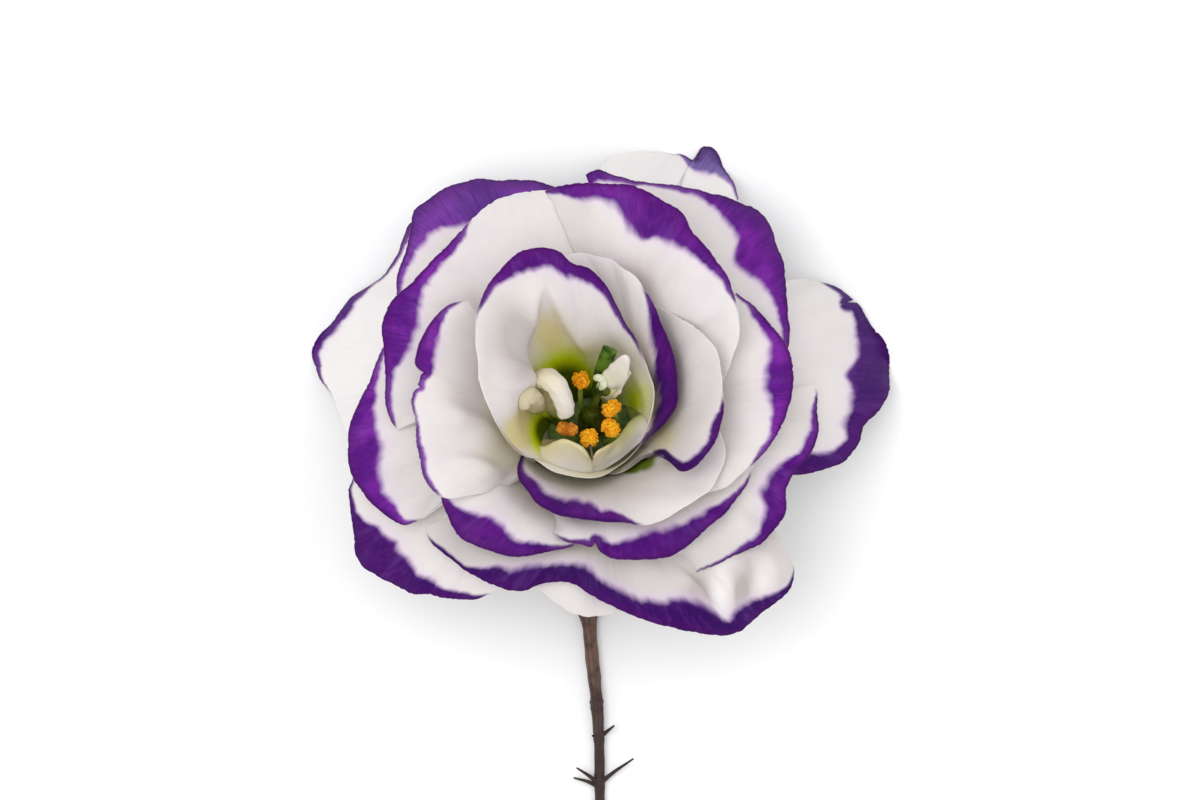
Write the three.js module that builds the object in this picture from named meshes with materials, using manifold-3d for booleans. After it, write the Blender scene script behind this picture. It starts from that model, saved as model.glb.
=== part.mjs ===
// A cut lisianthus bloom, white with purple margins, lying face up on its thin woody stem.
// Millimetres, +Z up. The stem lies on the surface z = 0 and runs towards -Y. The bloom's axis leans from +Z
// towards +Y, and its three drooping guard petals touch the surface round it.
import * as THREE from "three";
import { mergeVertices } from "three/addons/utils/BufferGeometryUtils.js";
import Module from "manifold-3d";

const wasm = await Module();
wasm.setup();

// Driving dimensions. Plan coordinates are X and Y as seen from straight above, with Z from the surface.
const LEAN = THREE.MathUtils.degToRad(13);
const BASE_CENTRE = new THREE.Vector3(0, -0.6, 12); // where the petals start, in plan coordinates
const FRAME_SHIFT = new THREE.Vector3(-1.285, 19.47, 0); // puts the part's own origin under its middle

const PETAL_THICKNESS = 0.6;
const PETAL_STEP = 3; // length of a petal's facets along its margin
const PETAL_ROWS = 7; // facets from its base to its margin
const BASE_SHARE = 0.35; // a petal's width at its base, as a share of its width at the margin
const RUFFLE = 0.5; // height of the waves at a petal's margin
const RUFFLE_LENGTH = 13;
const FLOOR_SOFTNESS = 0.5; // how softly a petal flattens where it meets the surface

// Radius and height of the receptacle's side
const RECEPTACLE = [[1.8, -4.65], [4.2, -4.1], [8, -2.9], [10.3, -1.6], [10.6, -0.5]];
const SEPALS = 5;
const SEPAL_LAYER = 7.8;
const SEPAL_WIDTH = 4.2;
const SEPAL_TIP = 0.8;
const SEPAL_THICKNESS = 0.9;
const SEPAL_REACH = 0.6; // how far a sepal follows its sheet
const SEPAL_ROOT = -0.03; // where it starts, inside the receptacle

// The petals lie on nested cup-shaped sheets about the bloom's axis. Layer 0 is the steep inner cup and the
// last layer droops. A profile is a cubic Bezier curve of radius and height, from the petals' base outwards.
const LAST_LAYER = 6;
const INNER_PROFILE = [[4.4, 0], [7.5, 11], [10.5, 24], [19, 33]];
const OUTER_PROFILE = [[9.3, 0], [15, 11], [26, 15], [43, -15]];
const MIDDLE_LIFT = 6; // how far the middle layers' ends stand above the straight blend of the two profiles
const BOUND = [0.05, 0.55]; // the stretch over which a petal goes from its base's layer to its margin's

const mix = THREE.MathUtils.lerp;
const FULL_TURN = 2 * Math.PI;
const vectors = (points) => points.map((point) => new THREE.Vector3(...point));

// Bernstein weights of a cubic Bezier curve
function cubicWeights(t) {
  const rest = 1 - t;
  return [rest ** 3, 3 * rest * rest * t, 3 * rest * t * t, t ** 3];
}

// Radius and height at t along the profile of a layer
function sheetProfile(layer, t) {
  const share = layer / LAST_LAYER;
  const lift = [0, 0, 0, 4 * MIDDLE_LIFT * share * (1 - share)];
  let radius = 0;
  let height = 0;
  cubicWeights(t).forEach((weight, i) => {
    radius += weight * mix(INNER_PROFILE[i][0], OUTER_PROFILE[i][0], share);
    height += weight * (mix(INNER_PROFILE[i][1], OUTER_PROFILE[i][1], share) + lift[i]);
  });
  return [radius, height];
}

// From the bloom's own frame, with its axis along +Z, to plan coordinates
function leaned(x, y, z) {
  return new THREE.Vector3(x, y, z).applyAxisAngle(new THREE.Vector3(1, 0, 0), -LEAN).add(BASE_CENTRE);
}

// A point of a sheet, pressed flat where it would pass through the surface below
function sheetPoint(azimuth, t, layer, rise = 0) {
  const [radius, height] = sheetProfile(layer, t);
  const point = leaned(radius * Math.cos(azimuth), radius * Math.sin(azimuth), height + rise);
  const floor = PETAL_THICKNESS / 2;
  point.z = floor + FLOOR_SOFTNESS * Math.log1p(Math.exp((point.z - floor) / FLOOR_SOFTNESS));
  return point;
}

// The azimuth and t at which a sheet passes over the plan position (x, y)
function onSheet(x, y, layer) {
  const across = x - BASE_CENTRE.x;
  const place = (t) => {
    const [radius, height] = sheetProfile(layer, t);
    return [radius, (y - BASE_CENTRE.y - height * Math.sin(LEAN)) / Math.cos(LEAN)];
  };
  let low = 0;
  let high = 1.15;
  for (let i = 0; i < 40; i++) {
    const t = (low + high) / 2;
    const [radius, up] = place(t);
    if (Math.hypot(across, up) > radius) low = t;
    else high = t;
  }
  return { azimuth: Math.atan2(place(low)[1], across), t: low };
}

// Petals
// Each margin is its outline seen from straight above, from the petal's clockwise side to its anticlockwise
// side, with its ends tucked under the petals inside it. base is the layer it is attached in, and layers are
// the sheets that its margin follows at its start, middle and end.
const PETALS = {
  inner_petal_top: {
    base: 0,
    layers: [-0.4, 0, 0.4],
    margin: [[6.3, 7.8], [6, 9.6], [4.3, 11.8], [2, 16.1], [-0.3, 19.4], [-3.5, 21.6], [-6.1, 22.6],
      [-9.4, 22.3], [-12.2, 19.8], [-14.6, 15.5], [-14.9, 11], [-14.4, 6.5], [-13.5, 3], [-11.8, -0.3],
      [-9, -3.6], [-6.6, -4.3]],
  },
  inner_petal_right: {
    base: 1,
    layers: [1, 0.35, 1.1],
    margin: [[-8.2, -3.6], [-5.9, -4.8], [-3.5, -5.7], [-1, -6.1], [2, -5.4], [4.7, -3.5], [7.5, -1.3],
      [9.4, 0.4], [10.6, 2.6], [10.9, 5.1], [10.4, 8.3], [9.3, 11.8], [8.2, 14.8], [6.8, 17],
      [4.3, 19.5], [1.8, 21.8]],
  },
  inner_petal_lower_right: {
    base: 2,
    layers: [1.1, 1.4, 1.7],
    margin: [[0.5, -7.2], [2.1, -6.3], [6.2, -4], [7.8, -3.5], [9.4, -3.6], [10.9, -4.7], [12.2, -5.6],
      [13.9, -4.7], [15.5, -2.5], [16.6, 0.4], [16.9, 3.1], [16.4, 7.7], [15.1, 10.3], [13.4, 12.2],
      [11.4, 13.6]],
  },
  inner_petal_bottom: {
    base: 2.9,
    layers: [1.5, 2, 2.6],
    margin: [[-8.3, -3.4], [-9.3, -5.3], [-9.1, -7.3], [-7.4, -9.5], [-5.5, -10.8], [-1.6, -12.1],
      [2.3, -12.7], [4.8, -12.7], [7.3, -12.4], [10.1, -11.6], [12.9, -10.1], [15, -8.4], [16.3, -6]],
  },
  inner_petal_left: {
    base: 1.9,
    layers: [1.5, 2, 2.4],
    margin: [[-15.9, 15.9], [-17.3, 15.7], [-19.6, 14.3], [-22.1, 10.7], [-22.8, 8.2], [-22.1, 6.2],
      [-23, 3.2], [-22.6, 0.6], [-22.3, -3.4], [-21.6, -6.8], [-19.9, -9], [-18, -9.6]],
  },
  middle_petal_lower_left: {
    base: 4.5,
    layers: [2.9, 3.1, 3.4],
    margin: [[-19.6, -7.4], [-19.4, -9.4], [-18.5, -11.8], [-17.2, -14.2], [-14.6, -15.7],
      [-10.7, -16.9], [-8.1, -17], [-4.8, -16.1], [-2.2, -15.3], [-0.6, -14]],
  },
  middle_petal_bottom: {
    base: 3.9,
    layers: [2.7, 3.2, 3.6],
    margin: [[-5.5, -13.4], [-4, -14.4], [-0.9, -15.3], [1.2, -16.3], [2.7, -17.2], [6.5, -17.4],
      [8.8, -17.2], [10.7, -16.5], [12.9, -15], [14.4, -13.7], [17, -11.8], [18.6, -9.6], [20.2, -7.3],
      [20.9, -5]],
  },
  middle_petal_right: {
    base: 3.6,
    layers: [2.8, 3.1, 3.7],
    margin: [[19.6, -5.9], [21.1, -4.7], [23.9, -1.2], [25.2, 1.7], [26, 4.9], [25.9, 7.7], [25.2, 10.1],
      [23.4, 12.7], [20.9, 15.5], [18.7, 17]],
  },
  middle_petal_top: {
    base: 2.9,
    layers: [2.7, 2.1, 1.7],
    margin: [[17.3, 6.5], [17.9, 8.3], [19, 12.2], [18.6, 15.7], [17.6, 18.6], [15.5, 21.7],
      [12.7, 25.2], [11.7, 27.4], [9.1, 29], [5.6, 30.7], [1.8, 31.1], [-1.6, 31.2], [-4.2, 30.9],
      [-6.1, 30.2]],
  },
  middle_petal_left: {
    base: 2.9,
    layers: [2.7, 2.6, 3.3],
    margin: [[-4.2, 29.6], [-6.1, 30.4], [-9.4, 30], [-12.5, 29], [-15.5, 26.5], [-19.4, 22.6],
      [-23.1, 18.5], [-26, 16], [-27.2, 12.6], [-27, 10.1], [-26.7, 6], [-26.7, 2.9], [-26.1, 0.7],
      [-25, -0.8]],
  },
  outer_petal_upper_left: {
    base: 4,
    layers: [3.7, 3.7, 3.7],
    margin: [[-3, 29.8], [-5.1, 31], [-7.4, 31.7], [-10.1, 32], [-15.5, 31.6], [-19.4, 30.8],
      [-21.5, 29.5], [-23.3, 28], [-23.6, 25.4], [-24.2, 22.6], [-25.4, 19.1], [-25.4, 16.8],
      [-24.6, 15]],
  },
  guard_petal_left: {
    base: 5,
    layers: [5.3, 6.5, 6.3],
    margin: [[-22, 27], [-23.7, 26.2], [-24.7, 24.4], [-25.5, 22.1], [-27, 19.9], [-29, 18.3],
      [-31.9, 16.3], [-33.9, 13.5], [-35.7, 11.4], [-36.5, 9.8], [-36.3, 8], [-35.6, 5.9], [-33.9, 3.3],
      [-31.9, -0.8], [-30.4, -3]],
  },
  outer_petal_left: {
    base: 3.9,
    layers: [3.5, 4.1, 3.8],
    margin: [[-26.1, 10.9], [-27, 10], [-28.7, 6.4], [-30, 3.3], [-31.6, -0.5], [-31.9, -3.9],
      [-31.3, -6.5], [-29.9, -8.4], [-28.5, -10.4], [-26.9, -11.8], [-25, -12.9], [-23, -13.2]],
  },
  outer_petal_lower_left: {
    base: 6,
    layers: [4.6, 5, 5.1],
    margin: [[-31, -7], [-31.6, -8.7], [-31.4, -11.6], [-31.1, -14.7], [-30.6, -17.2], [-28.5, -19.3],
      [-26.4, -20.7], [-23.9, -22], [-20.5, -22.4], [-17.7, -22.8], [-14.8, -22.5], [-13.1, -21.8],
      [-11.5, -20.6]],
  },
  outer_petal_bottom: {
    base: 5.5,
    layers: [3.9, 4.5, 5.1],
    margin: [[-21.7, -14], [-20.7, -15.5], [-19.6, -16.4], [-16.8, -18.6], [-14.8, -19.8],
      [-12.9, -20.8], [-10.6, -21.6], [-8.3, -21.6], [-6.9, -20.9], [-5.2, -20.3], [-2.6, -20.5],
      [-0.4, -22], [1.6, -23.1], [6.5, -25.1], [10.7, -26.5], [14.4, -27.3], [17.8, -27.3], [20, -26.4],
      [22.4, -24.8], [24.8, -23.1], [26, -21.6], [26.2, -19.5], [25.7, -17.3], [24.7, -15.2],
      [23.6, -13.6]],
  },
  outer_petal_right: {
    base: 4.8,
    layers: [4.2, 4.4, 4.5],
    margin: [[11.6, -19.2], [12.9, -19.4], [15.5, -18.4], [17.6, -17.4], [19.8, -16.5], [21.8, -15.7],
      [23.4, -14.2], [24.7, -12.4], [25.1, -10.4], [25.1, -8.4], [25.9, -6.6], [28.5, -3.8], [29.5, -2],
      [29.7, 0.6], [29.4, 3.4], [28.6, 5.2]],
  },
  guard_petal_right: {
    base: 5.6,
    layers: [5.7, 5.7, 5.9],
    margin: [[24.6, -6.2], [26.1, -6.7], [28.2, -6.5], [30.8, -5.7], [33, -4.7], [34.8, -2.2],
      [35.6, -0.1], [37.4, 1.7], [38.5, 3.6], [38.9, 6.1], [38.9, 8.7], [38.1, 11], [36.1, 13.4],
      [34.6, 15.7], [32.9, 17.3], [31.1, 18.3], [29.8, 18.9], [27.6, 19.2], [25.5, 18.7]],
  },
  outer_petal_upper_right: {
    base: 4.3,
    layers: [4.6, 4.1, 3.6],
    margin: [[25, 8.8], [25.6, 10.4], [25.5, 14.3], [25.2, 18], [24.8, 21.4], [23.7, 24.4], [22.8, 26.6],
      [21.4, 28.2], [19.6, 29], [17.6, 29.8], [14.3, 30.4], [11.7, 30.9], [7.7, 31.3], [5.1, 32],
      [2.5, 32.6], [0.8, 33], [-0.8, 32.4]],
  },
  guard_petal_top: {
    base: 5.4,
    layers: [4.9, 4.9, 4.9],
    margin: [[19, 29.2], [18.4, 31.4], [17.2, 33.7], [15.7, 36], [14.4, 36.2], [13.4, 34.6],
      [11.7, 35.4], [9.1, 35.6], [5.6, 35.7], [2.7, 34.8], [1, 33.4], [-0.9, 31.4]],
  },
  guard_petal_bottom: {
    base: 6.6,
    layers: [5.5, 5.5, 5.5],
    margin: [[-8, -19], [-6.6, -20.9], [-5.2, -22.4], [-4, -23.6], [-2.1, -24.7], [0.5, -24.9],
      [3, -24.3], [4.6, -22.8]],
  },
};

// How far counterclockwise an azimuth lies from the start, with a little room before it
function turnFrom(start, azimuth) {
  const room = 0.6;
  return THREE.MathUtils.euclideanModulo(azimuth - start + room, FULL_TURN) - room;
}

// The parabola through three evenly spaced values
function throughThree([first, middle, last], share) {
  const rest = 1 - share;
  return first * rest * (rest - share) + 4 * middle * share * rest + last * share * (share - rest);
}

// A petal's middle surface: across goes along its margin and along goes from its base to its margin,
// both from 0 to 1
function petalSurface({ base, layers, margin }) {
  const corners = vectors(margin.map(([x, y]) => [x, y, 0]));
  const outline = new THREE.CatmullRomCurve3(corners, false, "centripetal");
  const start = onSheet(...margin.at(0), layers[0]).azimuth;
  const span = turnFrom(start, onSheet(...margin.at(-1), layers[2]).azimuth);
  const layerAt = (turn) => throughThree(layers, THREE.MathUtils.clamp(turn / span, 0, 1));
  const rim = (across) => {
    const { x, y } = outline.getPointAt(across);
    let turn = across * span;
    let t = 0;
    for (let i = 0; i < 6; i++) {
      const found = onSheet(x, y, layerAt(turn));
      turn = turnFrom(start, found.azimuth);
      t = found.t;
    }
    return { turn, t };
  };
  const columns = Math.round(outline.getLength() / PETAL_STEP);
  const waves = Math.round(outline.getLength() / RUFFLE_LENGTH);
  const middle = (across, along) => {
    const edge = rim(across);
    const turn = span / 2 + (edge.turn - span / 2) * mix(BASE_SHARE, 1, along ** 0.6);
    const t = edge.t * along;
    const layer = mix(base, layerAt(turn), THREE.MathUtils.smoothstep(t, ...BOUND));
    const wave = RUFFLE * along ** 3 * Math.sin(FULL_TURN * waves * across);
    return sheetPoint(start + turn, t, layer, wave);
  };
  return { middle, columns };
}

// A closed sheet of even thickness about a middle surface, with its two faces split alike
function sheetGeometry(middle, columns, rows, thickness) {
  const points = [];
  const step = 0.01;
  const side = (columns + 1) * (rows + 1);
  for (const face of [1, -1]) {
    for (let i = 0; i <= columns; i++) {
      for (let j = 0; j <= rows; j++) {
        const across = i / columns;
        const along = j / rows;
        const [left, right] = [Math.max(across - step, 0), Math.min(across + step, 1)];
        const [below, beyond] = [Math.max(along - step, 0), Math.min(along + step, 1)];
        const overAcross = middle(right, along).sub(middle(left, along));
        const overAlong = middle(across, beyond).sub(middle(across, below));
        const normal = overAcross.cross(overAlong).normalize();
        const point = middle(across, along).addScaledVector(normal, face * thickness / 2);
        points.push(point.x, point.y, point.z);
      }
    }
  }
  const at = (i, j) => i * (rows + 1) + j;
  const index = [];
  for (let i = 0; i < columns; i++) {
    for (let j = 0; j < rows; j++) {
      const [a, b, c, d] = [at(i, j), at(i + 1, j), at(i + 1, j + 1), at(i, j + 1)];
      index.push(a, b, c, a, c, d);
      index.push(side + a, side + c, side + b, side + a, side + d, side + c);
    }
  }
  const border = [];
  for (let i = 0; i < columns; i++) border.push(at(i, 0));
  for (let j = 0; j < rows; j++) border.push(at(columns, j));
  for (let i = columns; i > 0; i--) border.push(at(i, rows));
  for (let j = rows; j > 0; j--) border.push(at(0, j));
  border.forEach((from, k) => {
    const to = border[(k + 1) % border.length];
    index.push(from, side + from, side + to, from, side + to, to);
  });
  return indexedGeometry(points, index);
}

function indexedGeometry(points, index) {
  const geometry = new THREE.BufferGeometry();
  geometry.setAttribute("position", new THREE.Float32BufferAttribute(points, 3));
  geometry.setIndex(index);
  return geometry;
}

// A tapered tube along a curve through points, closed at both ends. widths are its half-widths towards the
// given side and depths those square to it, spread evenly over its length. A tube that lies on the surface is
// kept above it.
function tubeGeometry(path, widths, depths, steps, sides, side, lies = false) {
  const curve = new THREE.CatmullRomCurve3(vectors(path), false, "centripetal");
  const alongList = (list, share) => {
    const place = Math.min(share * (list.length - 1), list.length - 1 - 1e-9);
    return mix(list[Math.floor(place)], list[Math.floor(place) + 1], place % 1);
  };
  const points = [];
  const index = [];
  const centre = (share) => {
    const point = curve.getPointAt(share);
    if (lies) point.z = Math.max(point.z, alongList(depths, share));
    return point;
  };
  for (let i = 0; i <= steps; i++) {
    const share = i / steps;
    const tangent = curve.getTangentAt(share);
    const first = side.clone().addScaledVector(tangent, -side.dot(tangent)).normalize();
    const second = tangent.clone().cross(first);
    for (let j = 0; j < sides; j++) {
      const angle = FULL_TURN * j / sides;
      const point = centre(share)
        .addScaledVector(first, alongList(widths, share) * Math.cos(angle))
        .addScaledVector(second, alongList(depths, share) * Math.sin(angle));
      points.push(...point);
      const next = (j + 1) % sides;
      const [a, b] = [i * sides + j, i * sides + next];
      if (i < steps) index.push(a, b, b + sides, a, b + sides, a + sides);
    }
  }
  const bottom = points.length / 3;
  points.push(...centre(0), ...centre(1));
  for (let j = 0; j < sides; j++) {
    const next = (j + 1) % sides;
    index.push(bottom, next, j);
    index.push(bottom + 1, steps * sides + j, steps * sides + next);
  }
  return indexedGeometry(points, index);
}

function solid(geometry) {
  for (const name of ["normal", "uv"]) geometry.deleteAttribute(name);
  const merged = mergeVertices(geometry, 1e-4);
  const vertProperties = new Float32Array(merged.attributes.position.array);
  const triVerts = new Uint32Array(merged.index.array);
  return new wasm.Manifold(new wasm.Mesh({ numProp: 3, vertProperties, triVerts }));
}

// One closed body made of pieces that overlap
function fused(pieces) {
  const { vertProperties, triVerts } = pieces.map(solid).reduce((whole, piece) => whole.add(piece)).getMesh();
  return indexedGeometry(vertProperties, [...triVerts]);
}

const CUP_SIDES = 20;
const SEPAL_COLUMNS = 2;
const SEPAL_ROWS = 7;

// Calyx: the shallow receptacle under the petals, with narrow pointed sepals that follow the outermost sheet
function calyx() {
  const top = RECEPTACLE.at(-1)[1];
  const profile = [[0, RECEPTACLE[0][1]], ...RECEPTACLE, [0, top]].map(([x, y]) => new THREE.Vector2(x, y));
  const cup = new THREE.LatheGeometry(profile, CUP_SIDES);
  cup.rotateX(Math.PI / 2);
  cup.rotateX(-LEAN);
  cup.translate(...BASE_CENTRE);
  const pieces = [cup];
  for (let i = 0; i < SEPALS; i++) {
    const azimuth = FULL_TURN * (i + 0.25) / SEPALS;
    const middle = (across, along) => {
      const t = mix(SEPAL_ROOT, SEPAL_REACH, along);
      const width = mix(SEPAL_WIDTH, SEPAL_TIP, along ** 1.6);
      const turn = (across - 0.5) * width / sheetProfile(SEPAL_LAYER, t)[0];
      return sheetPoint(azimuth + turn, t, SEPAL_LAYER);
    };
    pieces.push(sheetGeometry(middle, SEPAL_COLUMNS, SEPAL_ROWS, SEPAL_THICKNESS));
  }
  return fused(pieces);
}

// Stem: it bends under the bloom, then lies along the surface. Its short broken twigs are one with it.
const STEM_PATH = [[0, -1.78, 7.1], [0, -2.2, 5.4], [0, -3.4, 3.5], [-0.1, -5.8, 2], [-0.3, -9.5, 1.4],
  [-0.5, -15, 1.3], [-0.6, -22, 1.3], [-0.1, -29.4, 1], [0.6, -36, 1], [0.95, -42.4, 0.8], [1, -48.5, 0.7],
  [1.6, -57, 0.7], [1.9, -66, 0.7], [1.2, -75, 0.7]];
const STEM_RADII = [1.6, 1.5, 1.4, 1.3, 1.35, 1.1, 0.9, 0.9, 1.1, 0.85, 0.8, 0.75, 0.8, 0.72, 0.85, 0.7,
  0.72];
const STEM_STEPS = 44;
const STEM_SIDES = 8;
const TWIG_RADIUS = 0.32;
const TWIG_STEPS = 4;
const TWIG_SIDES = 5;
const TWIGS = [
  [[0.9, -40.9, 0.8], [1.9, -40.1, 1], [2.9, -39.3, 1.5]],
  [[0.9, -40.9, 0.9], [0, -40.6, 1.2]],
  [[1, -46.9, 0.8], [2.4, -45.7, 0.9], [5.4, -43.6, 1.6]],
  [[1, -47, 0.8], [-0.6, -45.7, 1.1], [-2, -44.8, 1.7]],
  [[1, -47.3, 0.7], [-0.6, -46.6, 0.8], [-2.4, -46.1, 1]],
];

function stem() {
  const across = new THREE.Vector3(1, 0, 0);
  const trunk = tubeGeometry(STEM_PATH, STEM_RADII, STEM_RADII, STEM_STEPS, STEM_SIDES, across, true);
  const radii = [TWIG_RADIUS * 1.3, TWIG_RADIUS, TWIG_RADIUS];
  const up = new THREE.Vector3(0, 0, 1);
  const twigs = TWIGS.map((path) => tubeGeometry(path, radii, radii, TWIG_STEPS, TWIG_SIDES, up));
  return fused([trunk, ...twigs]);
}

// Centre of the bloom. Heights here are measured from the height of the petals' base.
const above = (path) => path.map(([x, y, height]) => [x, y, BASE_CENTRE.z + height]);

const ANTHER = [1.25, 1.25, 1.1]; // half-sizes of a dusty anther
const FILAMENT_RADIUS = 0.4;
const THREAD_STEPS = 5;
const THREAD_SIDES = 6;
const STAMENS = [
  [[-1.1, 1.8, 0.4], [-1.5, 3.4, 6], [-1.5, 5.8, 11.8]],
  [[2.9, -0.5, 0.8], [3.1, 0.8, 6], [2.4, 2, 11.4]],
  [[1.8, -2.2, 1.2], [3, -2, 7], [2.4, -0.7, 12.2]],
  [[-0.3, -2.9, 1.2], [-0.3, -3, 7], [-0.4, -1.9, 11.8]],
  [[-1.9, -1.9, 1.1], [-3.2, -1.5, 6], [-3.3, -0.8, 11.2]],
];

// A filament with its anther on top
function stamen(path) {
  const radii = [FILAMENT_RADIUS, FILAMENT_RADIUS];
  const across = new THREE.Vector3(1, 0, 0);
  const filament = tubeGeometry(above(path), radii, radii, THREAD_STEPS, THREAD_SIDES, across);
  const anther = new THREE.SphereGeometry(1, 9, 6);
  anther.scale(...ANTHER);
  anther.translate(...above(path).at(-1));
  return fused([filament, anther]);
}

const OVARY_PATH = [[0, -0.65, 0.1], [0, 0.6, 5], [0.1, 1.6, 9]];
const OVARY_RADII = [1.3, 1.9, 1.9, 1.5, 0.6];
const OVARY_STEPS = 8;
const OVARY_SIDES = 10;
const STYLE_PATH = [[0.1, 1.4, 8], [0.6, 3, 10.5], [1.3, 5.3, 12.4]];
const STYLE_RADII = [0.6, 0.45];
const STIGMA_LOBES = [[0.8, 5.7, 12.9], [1.7, 5.2, 12.9]];
const STIGMA_RADIUS = 0.75;

// The ovary at the bloom's centre, with its style and two-lobed stigma
function pistil() {
  const across = new THREE.Vector3(1, 0, 0);
  const ovary = tubeGeometry(above(OVARY_PATH), OVARY_RADII, OVARY_RADII, OVARY_STEPS, OVARY_SIDES, across);
  const style = tubeGeometry(above(STYLE_PATH), STYLE_RADII, STYLE_RADII, THREAD_STEPS, THREAD_SIDES, across);
  const lobes = STIGMA_LOBES.map((place) => {
    const lobe = new THREE.SphereGeometry(STIGMA_RADIUS, 8, 5);
    lobe.translate(...above([place])[0]);
    return lobe;
  });
  return fused([ovary, style, ...lobes]);
}

// Petaloids: the small curled white blades round the stamens. Each is a path with its half-widths and
// half-depths.
const PETALOIDS = {
  petaloid_arched: {
    path: [[-3.3, 0.4, 0.5], [-4.6, 2.2, 6], [-5.7, 4.6, 11.6], [-5.8, 5.7, 14.3], [-4.9, 5.3, 15.6],
      [-4.1, 3.9, 16], [-3.4, 2.2, 15.4], [-2.9, 1.1, 14.2]],
    widths: [0.5, 0.6, 1, 1.2, 1.5, 1.5, 0.8],
    depths: [0.4, 0.5, 0.7, 1, 1.2, 1.2, 0.6],
    side: [1, 0.3, 0],
  },
  petaloid_curled: {
    path: [[-3.3, -1.4, 0.8], [-4.7, 0.1, 6], [-5.6, 1.9, 11], [-6.1, 2.9, 13.6]],
    widths: [0.4, 0.6, 1, 1.3, 0.8],
    depths: [0.35, 0.5, 0.8, 1.2, 0.7],
    side: [1, 0, 0],
  },
  petaloid_right: {
    path: [[2.2, 1.6, 0.3], [2.9, 3.6, 6], [3.4, 5.2, 11], [4.1, 7, 14.5], [5, 8.8, 17]],
    widths: [0.6, 0.9, 1.3, 1.6, 1.5, 0.8],
    depths: [0.35, 0.4, 0.45, 0.5, 0.45, 0.35],
    side: [0.87, -0.5, 0],
  },
  green_leaflet: {
    path: [[0.3, 2.5, 0.2], [0.4, 4.7, 6], [0.8, 7, 11.5], [1.8, 9.9, 16.6]],
    widths: [0.7, 1, 1.2, 0.9, 0.4],
    depths: [0.3, 0.35, 0.4, 0.35, 0.3],
    side: [1, -0.4, 0],
  },
};

// Lip petals: two small cream blades that close the cup in front of the stamens, each drawn between its root
// and its rim
const LIP_PETALS = {
  lip_petal_left: {
    root: [[-3, -2.3, 0.9], [-2.3, -3.2, 1.1], [-1.3, -3.8, 1.3], [-0.7, -4, 1.3]],
    rim: [[-6.6, 0.3, 15.4], [-5.5, -1.2, 16.6], [-4.1, -1.9, 16.8], [-2.6, -2.9, 16.2], [-1, -4.2, 15]],
  },
  lip_petal_right: {
    root: [[0.4, -4.1, 1.3], [1.3, -3.8, 1.3], [2.3, -3.2, 1.1], [2.9, -2.5, 0.9]],
    rim: [[-0.1, -5, 13], [1.6, -4.6, 14.6], [3.5, -3.2, 15.6], [5, -1.4, 15.4], [5.9, 0.8, 14]],
  },
};
const LIP_BULGE = 0.5; // how far a lip petal's middle stands out from the line between its root and its rim
const LIP_COLUMNS = 5;
const LIP_ROWS = 5;

function lipPetal({ root, rim }) {
  const [low, high] = [root, rim].map((path) => new THREE.CatmullRomCurve3(vectors(above(path))));
  const middle = (across, along) => {
    const point = low.getPointAt(across).lerp(high.getPointAt(across), along);
    const out = new THREE.Vector3(point.x - BASE_CENTRE.x, point.y - BASE_CENTRE.y, 0).normalize();
    return point.addScaledVector(out, 4 * LIP_BULGE * along * (1 - along));
  };
  return sheetGeometry(middle, LIP_COLUMNS, LIP_ROWS, PETAL_THICKNESS);
}

const PETALOID_STEPS = 12;
const PETALOID_SIDES = 8;

function petaloid({ path, widths, depths, side }) {
  const across = new THREE.Vector3(...side);
  return tubeGeometry(above(path), widths, depths, PETALOID_STEPS, PETALOID_SIDES, across);
}

// Colours
const finish = (color, roughness) => new THREE.MeshStandardMaterial({ color, roughness });
const PETAL_WHITE = finish(0xf1eef0, 0.6);
const CREAM = finish(0xefe9d8, 0.6);
const FRESH_GREEN = finish(0x6d8a3a, 0.6);
const DARK_GREEN = finish(0x33501f, 0.6);
const POLLEN = finish(0xe39a1c, 0.9);
const BARK = finish(0x4a3732, 0.85);

const flower = new THREE.Group();

function add(name, geometry, material) {
  geometry.translate(...FRAME_SHIFT);
  const mesh = new THREE.Mesh(geometry, material);
  mesh.name = name;
  flower.add(mesh);
}

for (const [name, petal] of Object.entries(PETALS)) {
  const { middle, columns } = petalSurface(petal);
  add(name, sheetGeometry(middle, columns, PETAL_ROWS, PETAL_THICKNESS), PETAL_WHITE);
}
for (const [name, shape] of Object.entries(PETALOIDS)) {
  add(name, petaloid(shape), name === "green_leaflet" ? DARK_GREEN : CREAM);
}
for (const [name, shape] of Object.entries(LIP_PETALS)) add(name, lipPetal(shape), CREAM);
STAMENS.forEach((path, i) => add(`stamen_${i + 1}`, stamen(path), POLLEN));
add("pistil", pistil(), DARK_GREEN);
add("calyx", calyx(), FRESH_GREEN);
add("stem", stem(), BARK);

export default flower;
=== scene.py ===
"""The looks of a cut lisianthus bloom, white with violet margins, on its thin woody stem.

Lengths are millimetres in plan coordinates, as seen from straight above with Z from the surface. A piece is
moved to the part's own frame, in metres, when it is made.
"""

from math import cos, radians, sin, tau

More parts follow.
